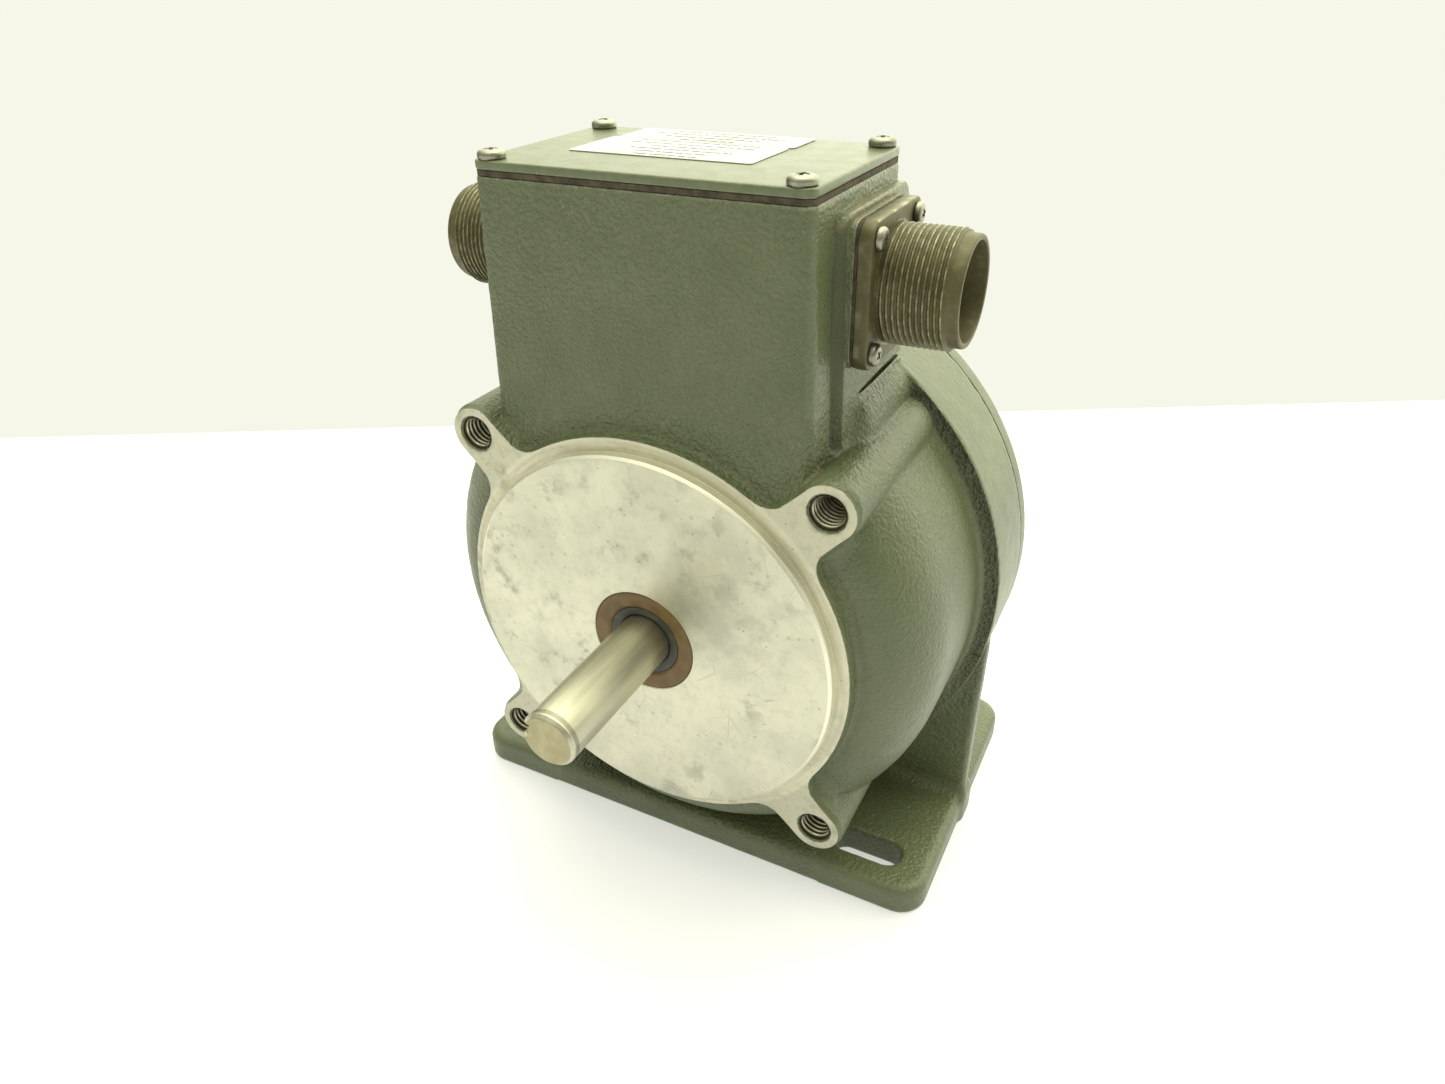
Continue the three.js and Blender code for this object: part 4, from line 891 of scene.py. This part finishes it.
def build_housing():
    low = (-DRUM_R - 1.5, FACE_Y - 1.1, FLOOR_Z - 1.4)
    high = (DRUM_R + 1.5, BASE_BACK + 1.5, BOX_TOP + 1.5)
    corners, faces = contour(casting, low, high, 0.8)
    outward = gradient(casting, corners)
    # Machined faces stay flat; the waviness fades in beside them.
    x, y, z = corners.T
    unevenness = 0.10 * np.clip((y - FACE_Y - 0.4) / 2.0, 0, 1)
    unevenness *= np.clip((z - FLOOR_Z - 0.4) / 2.0, 0, 1) * np.clip((BOX_TOP - 0.6 - z) / 2.0, 0, 1)
    unevenness *= np.clip((DRUM_BACK - 1.0 - y) / 2.0 + (z < -70), 0, 1)
    unevenness *= np.abs(x) < DRUM_R - 0.8
    unevenness[(np.abs(x) > 47) & (z > 78)] = 0
    corners += outward * (waviness(corners) * unevenness)[:, None]
    corners[:, 2] = np.maximum(corners[:, 2], FLOOR_Z)
    piece = grid_object("housing_casting", corners, faces, 40)
    finish_piece(piece, "paint", "housing", look=HOUSING)


def build_spigot():
    back = SEAL_DEPTH + 1
    profile = rounded([(SEAL_BORE_R, back), (SEAL_BORE_R, 0.3), (SEAL_BORE_R + 0.3, 0),
                       (PILOT_R - PILOT_CHAMFER, 0), (PILOT_R, PILOT_CHAMFER), (PILOT_R, back),
                       (SEAL_BORE_R, back)], 0.12)
    make_piece("machined_spigot", turned(profile, "Y", 288), "paint", "housing", look=HOUSING)


def build_lug_threads():
    """The tapped wall of each lug hole: a closed sleeve with a helical inner face."""
    depth = LUG_THREAD_R - LUG_MINOR_R
    rows = int(LUG_DEPTH / (LUG_PITCH / 8))
    start, length = FACE_Y + 0.5, LUG_DEPTH - 1.0
    inner = [(LUG_MINOR_R, start + length * i / rows) for i in range(rows + 1)]
    last = inner[-1][1]
    profile = [*inner, (0.5, last + 0.3), (0.5, last + 0.5), (LUG_THREAD_R, last + 0.5),
               (LUG_THREAD_R, start), inner[0]]

    def ripple(r, t, angle):
        if r != LUG_MINOR_R:
            return r
        phase = (t / LUG_PITCH - angle / (2 * math.pi)) % 1.0
        tooth = min(max(1.25 - abs(phase - 0.5) * 2.9, 0.0), 1.0)
        lead_in = min((t - FACE_Y - 0.4) / 1.2, 1.0)
        return LUG_THREAD_R - 0.03 - (depth - 0.03) * tooth * lead_in

    for number, (side_x, side_z) in enumerate(CORNERS, 1):
        shape = turned(profile, "Y", 40, (side_x * LUG_CENTRE, side_z * LUG_CENTRE), ripple)
        make_piece(f"lug_thread_{number}", shape, "paint", sharp=60, look=THREAD_METAL)


# ---- shaft, seal, rear cover ----
def build_shaft():
    end, seat_r = -SHAFT_OUT, SHAFT_SHOULDER_R
    front, back = cad("front_bearing_inner_race")[0].y, cad("rear_bearing_inner_race")[0].y
    nose = rounded([(SHAFT_R - 1.05, end), (SHAFT_R - 0.98, end + 0.02), (SHAFT_R - 0.05, end + 0.95),
                    (SHAFT_R, end + 1.15)], 0.12)
    middle = front + BEARING_WIDTH
    profile = [(0, end), *nose, (SHAFT_R, front - 1), (seat_r, front - 0.6), (seat_r, middle + 0.05),
               (SHAFT_MIDDLE_R, middle + 0.1), (SHAFT_MIDDLE_R, back - 0.2), (seat_r, back - 0.05),
               (seat_r, RING_GROOVE_FRONT), (RING_GROOVE_R, RING_GROOVE_FRONT),
               (RING_GROOVE_R, RING_GROOVE_BACK), (seat_r, RING_GROOVE_BACK), (seat_r, TAIL_Y),
               (TAIL_R, TAIL_Y + 0.4), (TAIL_R, SHAFT_TAIL - 0.6), (TAIL_R - 0.6, SHAFT_TAIL),
               (0, SHAFT_TAIL)]
    piece = solid_object("drive_shaft", *turned(profile, "Y", 128))
    key = outline_points(SHAFT_R - KEYWAY_DEPTH, end - 3, SHAFT_R + 3, end + KEYWAY_LENGTH, 0.25, 2)
    tool = solid_object("key_tool", *slab(key, -KEYWAY_WIDTH / 2, KEYWAY_WIDTH / 2, "Z", 0.0, 1))
    spin = Matrix.Rotation(-KEYWAY_ANGLE, 4, "Y")
    tool.data.transform(Matrix.Translation(ORIGIN) @ spin @ Matrix.Translation(-ORIGIN))
    cut(piece, tool)
    finish_piece(piece, "steel", "shaft", body="rotor", look=SHAFT_STEEL)


def build_seal():
    case = rounded([(10.9, 6.5), (15.9, 6.5), (15.9, 0.25), (15.2, 0.12), (11.8, 0.35), (10.9, 0.9),
                    (10.9, 6.5)], 0.25)
    make_piece("seal_case", turned(case), "seal_case", "shaft_seal_case")
    lip = rounded([(8.6, 5.6), (10.88, 5.6), (10.88, 0.85), (10.6, 0.62), (9.2, 0.95), (8.35, 1.15),
                   (8.1, 1.5), (8.2, 2.4), (8.6, 5.6)], 0.2)
    make_piece("seal_lip", turned(lip), "rubber", "shaft_seal_lip")


def build_rear_cover():
    front, back = DRUM_BACK + 0.35, COVER_BACK
    profile = rounded([(0, 90.2), (66, 90.2), (69, 86.8), (COVER_LIP_R, 86.8), (COVER_LIP_R, front),
                       (DRUM_R - 0.1, front), (DRUM_R, front + 0.15), (DRUM_R, back - 2.2),
                       (DRUM_R - 0.6, back - 0.8), (DRUM_R - 2.2, back), (63, back), (60, 94),
                       (20, 94), (18, 94.8), (0, 94.8)], 0.5)
    make_piece("rear_cover_shell", turned(profile, "Y", 224), "paint", "rear_cover")
    low, high = cad("rear_cover_gasket")
    outer_r = DRUM_R - 0.45
    ring = [(COVER_GASKET_R, low.y), (outer_r, low.y), (outer_r, high.y), (COVER_GASKET_R, high.y),
            (COVER_GASKET_R, low.y)]
    make_piece("rear_gasket_ring", turned(ring, "Y", 224), "gasket", "rear_cover_gasket")


# ---- screws ----
def pan_screw_mesh(head_r, head_height, shank_r, length):
    """A pan-head screw along +Z with its seat at z = 0 and a cross recess."""
    top = head_height
    profile = [(0, -length), (shank_r * 0.7, -length), (shank_r, -length + shank_r * 0.5),
               (shank_r, 0.02), (head_r * 0.94, 0.02), (head_r, top * 0.14),
               *arc(head_r * 0.62, top * 0.42, head_r * 0.38, top * 0.50, -8, 90, 8),
               (head_r * 0.3, top * 0.985), (0, top)]
    piece = solid_object("screw_master", *turned(profile, "Z", 40))
    reach, width, squeeze = head_r * 0.56, head_r * 0.17, 0.62
    for u, v in ((reach, width), (width, reach)):
        corners, faces = slab([(-u, -v), (u, -v), (u, v), (-u, v)], top * 0.42, top + 1, "Z", 0.0, 1)
        corners = [(x * squeeze, y * squeeze, z) if z < top * 0.5 else (x, y, z) for x, y, z in corners]
        cut(piece, solid_object("cross_tool", corners, faces))
    mesh = piece.data
    mesh.transform(Matrix.Scale(MM, 4) @ PLACE.inverted())
    bpy.data.objects.remove(piece)
    return mesh


def put_screw(name, mesh, place, direction, turn, node):
    """Stands a screw on its seat: place is the seat, direction the way its head faces."""
    facing = Vector(direction).to_track_quat("Z", "Y").to_matrix().to_4x4()
    piece = linked(name, mesh.copy())
    spin = Matrix.Rotation(turn, 4, "Z")
    piece.data.transform(Matrix.Translation(ORIGIN + Vector(place) * MM) @ facing @ spin)
    finish_piece(piece, "zinc", node)


def build_screws():
    lid = pan_screw_mesh(3.5, 2.3, 1.5, 11)
    for i, turn in enumerate((0.3, 1.1, 0.7, 0.05), 1):
        low, high = cad(f"lid_screw_{i}")
        middle = (low + high) / 2
        place = (middle.x, middle.y, LID_HIGH + 0.05)
        put_screw(f"lid_pan_screw_{i}", lid, place, (0, 0, 1), turn, f"lid_screw_{i}")
    cover = pan_screw_mesh(3.9, 2.6, 1.95, 16)
    for i in range(1, 7):
        angle = math.radians(60 * i - 30)
        place = (COVER_SCREW_CIRCLE_R * math.cos(angle), COVER_BACK, COVER_SCREW_CIRCLE_R * math.sin(angle))
        put_screw(f"cover_pan_screw_{i}", cover, place, (0, 1, 0), 0.4 * i, f"rear_cover_screw_{i}")
    small = pan_screw_mesh(2.75, 1.9, 1.2, 10)
    for side_name, side in (("right", 1), ("left", -1)):
        for i in range(1, 5):
            node = f"connector_{side_name}_screw_{i}"
            low, high = cad(node)
            middle = (low + high) / 2
            place = (side * (FLANGE_FRONT_X + 0.05), middle.y, middle.z)
            put_screw(f"port_pan_screw_{side_name}_{i}", small, place, (side, 0, 0), 0.9 * i + side, node)
    for mesh in (lid, cover, small):
        bpy.data.meshes.remove(mesh)


# ---- terminal box lid ----
def build_lid():
    outline = outline_points(-BOX_HALF_WIDTH, BOX_FRONT, BOX_HALF_WIDTH, BOX_BACK, BOX_CORNER_R, 8)
    lid = slab(outline, LID_LOW, LID_HIGH, "Z", 0.55, 4)
    make_piece("terminal_box_lid", lid, "paint", "box_lid", look=LID_PAINT)
    low, high = cad("lid_gasket")
    outer = outline_points(low.x, low.y, high.x, high.y, 2.9, 8)
    inner = outline_points(low.x + LID_GASKET_WIDTH, low.y + LID_GASKET_WIDTH,
                           high.x - LID_GASKET_WIDTH, high.y - LID_GASKET_WIDTH, 4.0, 8)
    count = len(outer)
    corners = [(*p, z) for z in (low.z, high.z) for ring in (outer, inner) for p in ring]
    faces = []
    for i in range(count):
        j = (i + 1) % count
        for a, b in ((0, 2 * count), (2 * count, 3 * count), (3 * count, count), (count, 0)):
            faces.append([a + i, a + j, b + j, b + i])
    make_piece("lid_seal_sheet", (corners, faces), "gasket", "lid_gasket")
    for name, node in (("front_label", "lid_label_front"), ("rear_label", "lid_label_rear")):
        low, high = cad(node)
        outline = outline_points(low.x, low.y + 0.35, high.x, high.y, 1.2, 5)
        make_piece(name, slab(outline, low.z, high.z, "Z", 0.06, 2), "label", node)


# ---- connectors ----
def build_connector(side_name, side):
    """One connector, drawn on the right side and mirrored for the left."""
    centre = (PORT_Y, PORT_Z)

    def mirrored(name, shape, sharp=32):
        corners, faces = shape
        return solid_object(name, [(side * x, y, z) for x, y, z in corners], faces, sharp)

    def plate(name, outline, near, far, edge, steps, hole_r):
        """A flat plate with a round hole in its middle."""
        piece = mirrored(name, slab(outline, near, far, "X", edge, steps))
        hole = [(0, SIDE_INNER_X), (hole_r, SIDE_INNER_X), (hole_r, INSERT_X), (0, INSERT_X)]
        cut(piece, mirrored("hole_tool", turned(hole, "X", 96, centre)))
        return piece

    def ripple(r, t, angle):
        if r != BARREL_R:
            return r
        phase = (t / BARREL_PITCH - side * angle / (2 * math.pi)) % 1.0
        valley = min(max((abs(phase - 0.5) * 2 - 0.16) / 0.66, 0.0), 1.0)
        return BARREL_R - BARREL_THREAD_DEPTH * valley

    start, end = FLANGE_FRONT_X + 1.0, MOUTH_X - 3.3
    rows = int((end - start) / (BARREL_PITCH / 8))
    thread = [(BARREL_R, start + (end - start) * i / rows) for i in range(rows + 1)]
    tail = [(BARREL_BORE_R, BARREL_START_X), (TAIL_OUTER_R, BARREL_START_X),
            (TAIL_OUTER_R, FLANGE_X + 1.2), (NECK_R, FLANGE_X + 1.4), (NECK_R, start - 0.1)]
    lead = [(LEAD_R + 0.35, end + 0.1), (LEAD_R, end + 0.5), (LEAD_R, MOUTH_X - 0.5),
            (LEAD_R - 0.15, MOUTH_X - 0.15), (LEAD_R - 0.5, MOUTH_X)]
    mouth = [(BARREL_BORE_R + 0.4, MOUTH_X), (BARREL_BORE_R + 0.1, MOUTH_X - 0.12),
             (BARREL_BORE_R, MOUTH_X - 0.45), tail[0]]
    barrel = turned(tail + thread + lead + mouth, "X", 128, centre, ripple)
    shell = f"connector_{side_name}_shell"
    finish_piece(mirrored(f"port_barrel_{side_name}", barrel, 50), "olive_plate", shell)
    half = FLANGE_SIDE / 2
    square = outline_points(PORT_Y - half, PORT_Z - half, PORT_Y + half, PORT_Z + half, 4.2, 8)
    piece = plate(f"port_flange_{side_name}", square, FLANGE_X, FLANGE_FRONT_X, 0.3, 3, 12.65)
    finish_piece(piece, "olive_plate", shell)
    low, high = cad(f"connector_{side_name}_gasket")
    near, far = sorted((abs(low.x), abs(high.x)))
    sheet = outline_points(low.y, low.z, high.y, high.z, 4.0, 8)
    piece = plate(f"port_gasket_{side_name}", sheet, near, far, 0.1, 2, 13)
    finish_piece(piece, "gasket", f"connector_{side_name}_gasket")

    insert_r = BARREL_BORE_R - 0.05
    disc = rounded([(0, BARREL_START_X), (insert_r, BARREL_START_X), (insert_r, INSERT_X),
                    (0, INSERT_X)], 0.3)
    piece = mirrored(f"port_insert_{side_name}", turned(disc, "X", 96, centre))
    finish_piece(piece, "resin", f"connector_{side_name}_insert")
    pin = rounded([(0, PIN_X), (PIN_R, PIN_X), (PIN_R, PIN_END_X - 0.6), (0.45, PIN_END_X),
                   (0, PIN_END_X)], 0.2)
    pins = []
    for ring_r, count in PIN_RINGS:
        for i in range(count):
            angle = 2 * math.pi * i / count
            place = (PORT_Y + ring_r * math.cos(angle), PORT_Z + ring_r * math.sin(angle))
            pins.append(turned(pin, "X", 16, place))
    piece = mirrored(f"port_pins_{side_name}", merged(pins))
    finish_piece(piece, "brass", f"connector_{side_name}_insert")


# ---- floor, light and camera ----
def build_stage():
    """A wide floor whose rear edge, in metres, runs aslant behind the machine."""
    back, slope, reach = 0.365, 0.548, 6.0
    floor = bpy.data.meshes.new("studio_floor")
    floor.from_pydata([(-reach, -reach, 0), (reach, -reach, 0), (reach, back + slope * reach, 0),
                       (-reach, back - slope * reach, 0)], [], [(0, 1, 2, 3)])
    g = Surface("floor_paper")
    colour = g.mix(g.noise(160, 3.0).ramp(0.3, 0.7), (0.44, 0.445, 0.46), (0.46, 0.465, 0.48))
    g.finish(Base_Color=colour, Emission_Color=(1.0, 1.0, 0.95), Emission_Strength=0.5,
             Roughness=g.blend(g.noise(60, 2.0), 0.45, 0.6))
    floor.materials.append(g.material)
    linked("studio_floor", floor)


def build_light():
    """A pale room: bright overhead and behind the machine, dimmer on the camera's right."""
    lamp = bpy.data.lights.new("top_light", "AREA")
    lamp.shape, lamp.size, lamp.energy, lamp.color = "DISK", 1.6, 13.0, (1.0, 1.0, 0.82)
    piece = linked("top_light", lamp)
    piece.location = (-0.1, 0.1, 1.6)
    piece.rotation_euler = (Vector((0, 0, 0.1)) - piece.location).to_track_quat("-Z", "Y").to_euler()
    world = bpy.data.worlds.new("studio")
    bpy.context.scene.world = world
    world.use_nodes = True
    g = Graph(world.node_tree)
    direction = g.add("TexCoord", {}, "Generated")

    def towards(aim, *ramp):
        dot = g.add("VectorMath", {0: direction, 1: aim}, "Value", operation="DOT_PRODUCT")
        return dot.ramp(*ramp)

    top = towards((0.0, 0.0, 1.0), 0.0, 0.9, 0.36, 1.30)
    behind = towards((0.12, 0.86, 0.49), 0.25, 0.95, 0.0, 2.2)
    right = towards((0.86, -0.50, 0.0), 0.0, 0.9, 1.0, 0.68)
    seen = g.add("LightPath", {}, "Is Camera Ray")
    room, backdrop = (1.0, 1.0, 0.78), (0.921, 0.930, 0.813)
    background = world.node_tree.nodes["Background"].inputs
    g.feed(background["Color"], g.mix(seen, room, backdrop))
    g.feed(background["Strength"], g.blend(seen, top * right + behind, 1.0))


def build_camera():
    focal_share, azimuth, elevation, roll = 983.5 / 1445, 27.99, 31.215, -1.211
    data = bpy.data.cameras.new("photo_camera")
    data.sensor_fit, data.sensor_width = "HORIZONTAL", 36.0
    data.lens = focal_share * data.sensor_width
    data.clip_start, data.clip_end = 0.01, 50.0
    piece = linked("photo_camera", data)
    turn = Matrix.Rotation(math.radians(azimuth), 4, "Z")
    tilt = Matrix.Rotation(math.radians(90 - elevation), 4, "X")
    lean = Matrix.Rotation(math.radians(roll), 4, "Z")
    place = ORIGIN + Vector((125.66, -186.92, 168.22)) * MM
    piece.matrix_world = Matrix.Translation(place) @ turn @ tilt @ lean
    bpy.context.scene.camera = piece


build_camera()
build_stage()
build_light()
build_housing()
build_spigot()
build_lug_threads()
build_shaft()
build_seal()
build_rear_cover()
build_screws()
build_lid()
build_connector("right", 1)
build_connector("left", -1)
bpy.context.scene.view_settings.view_transform = "Standard"
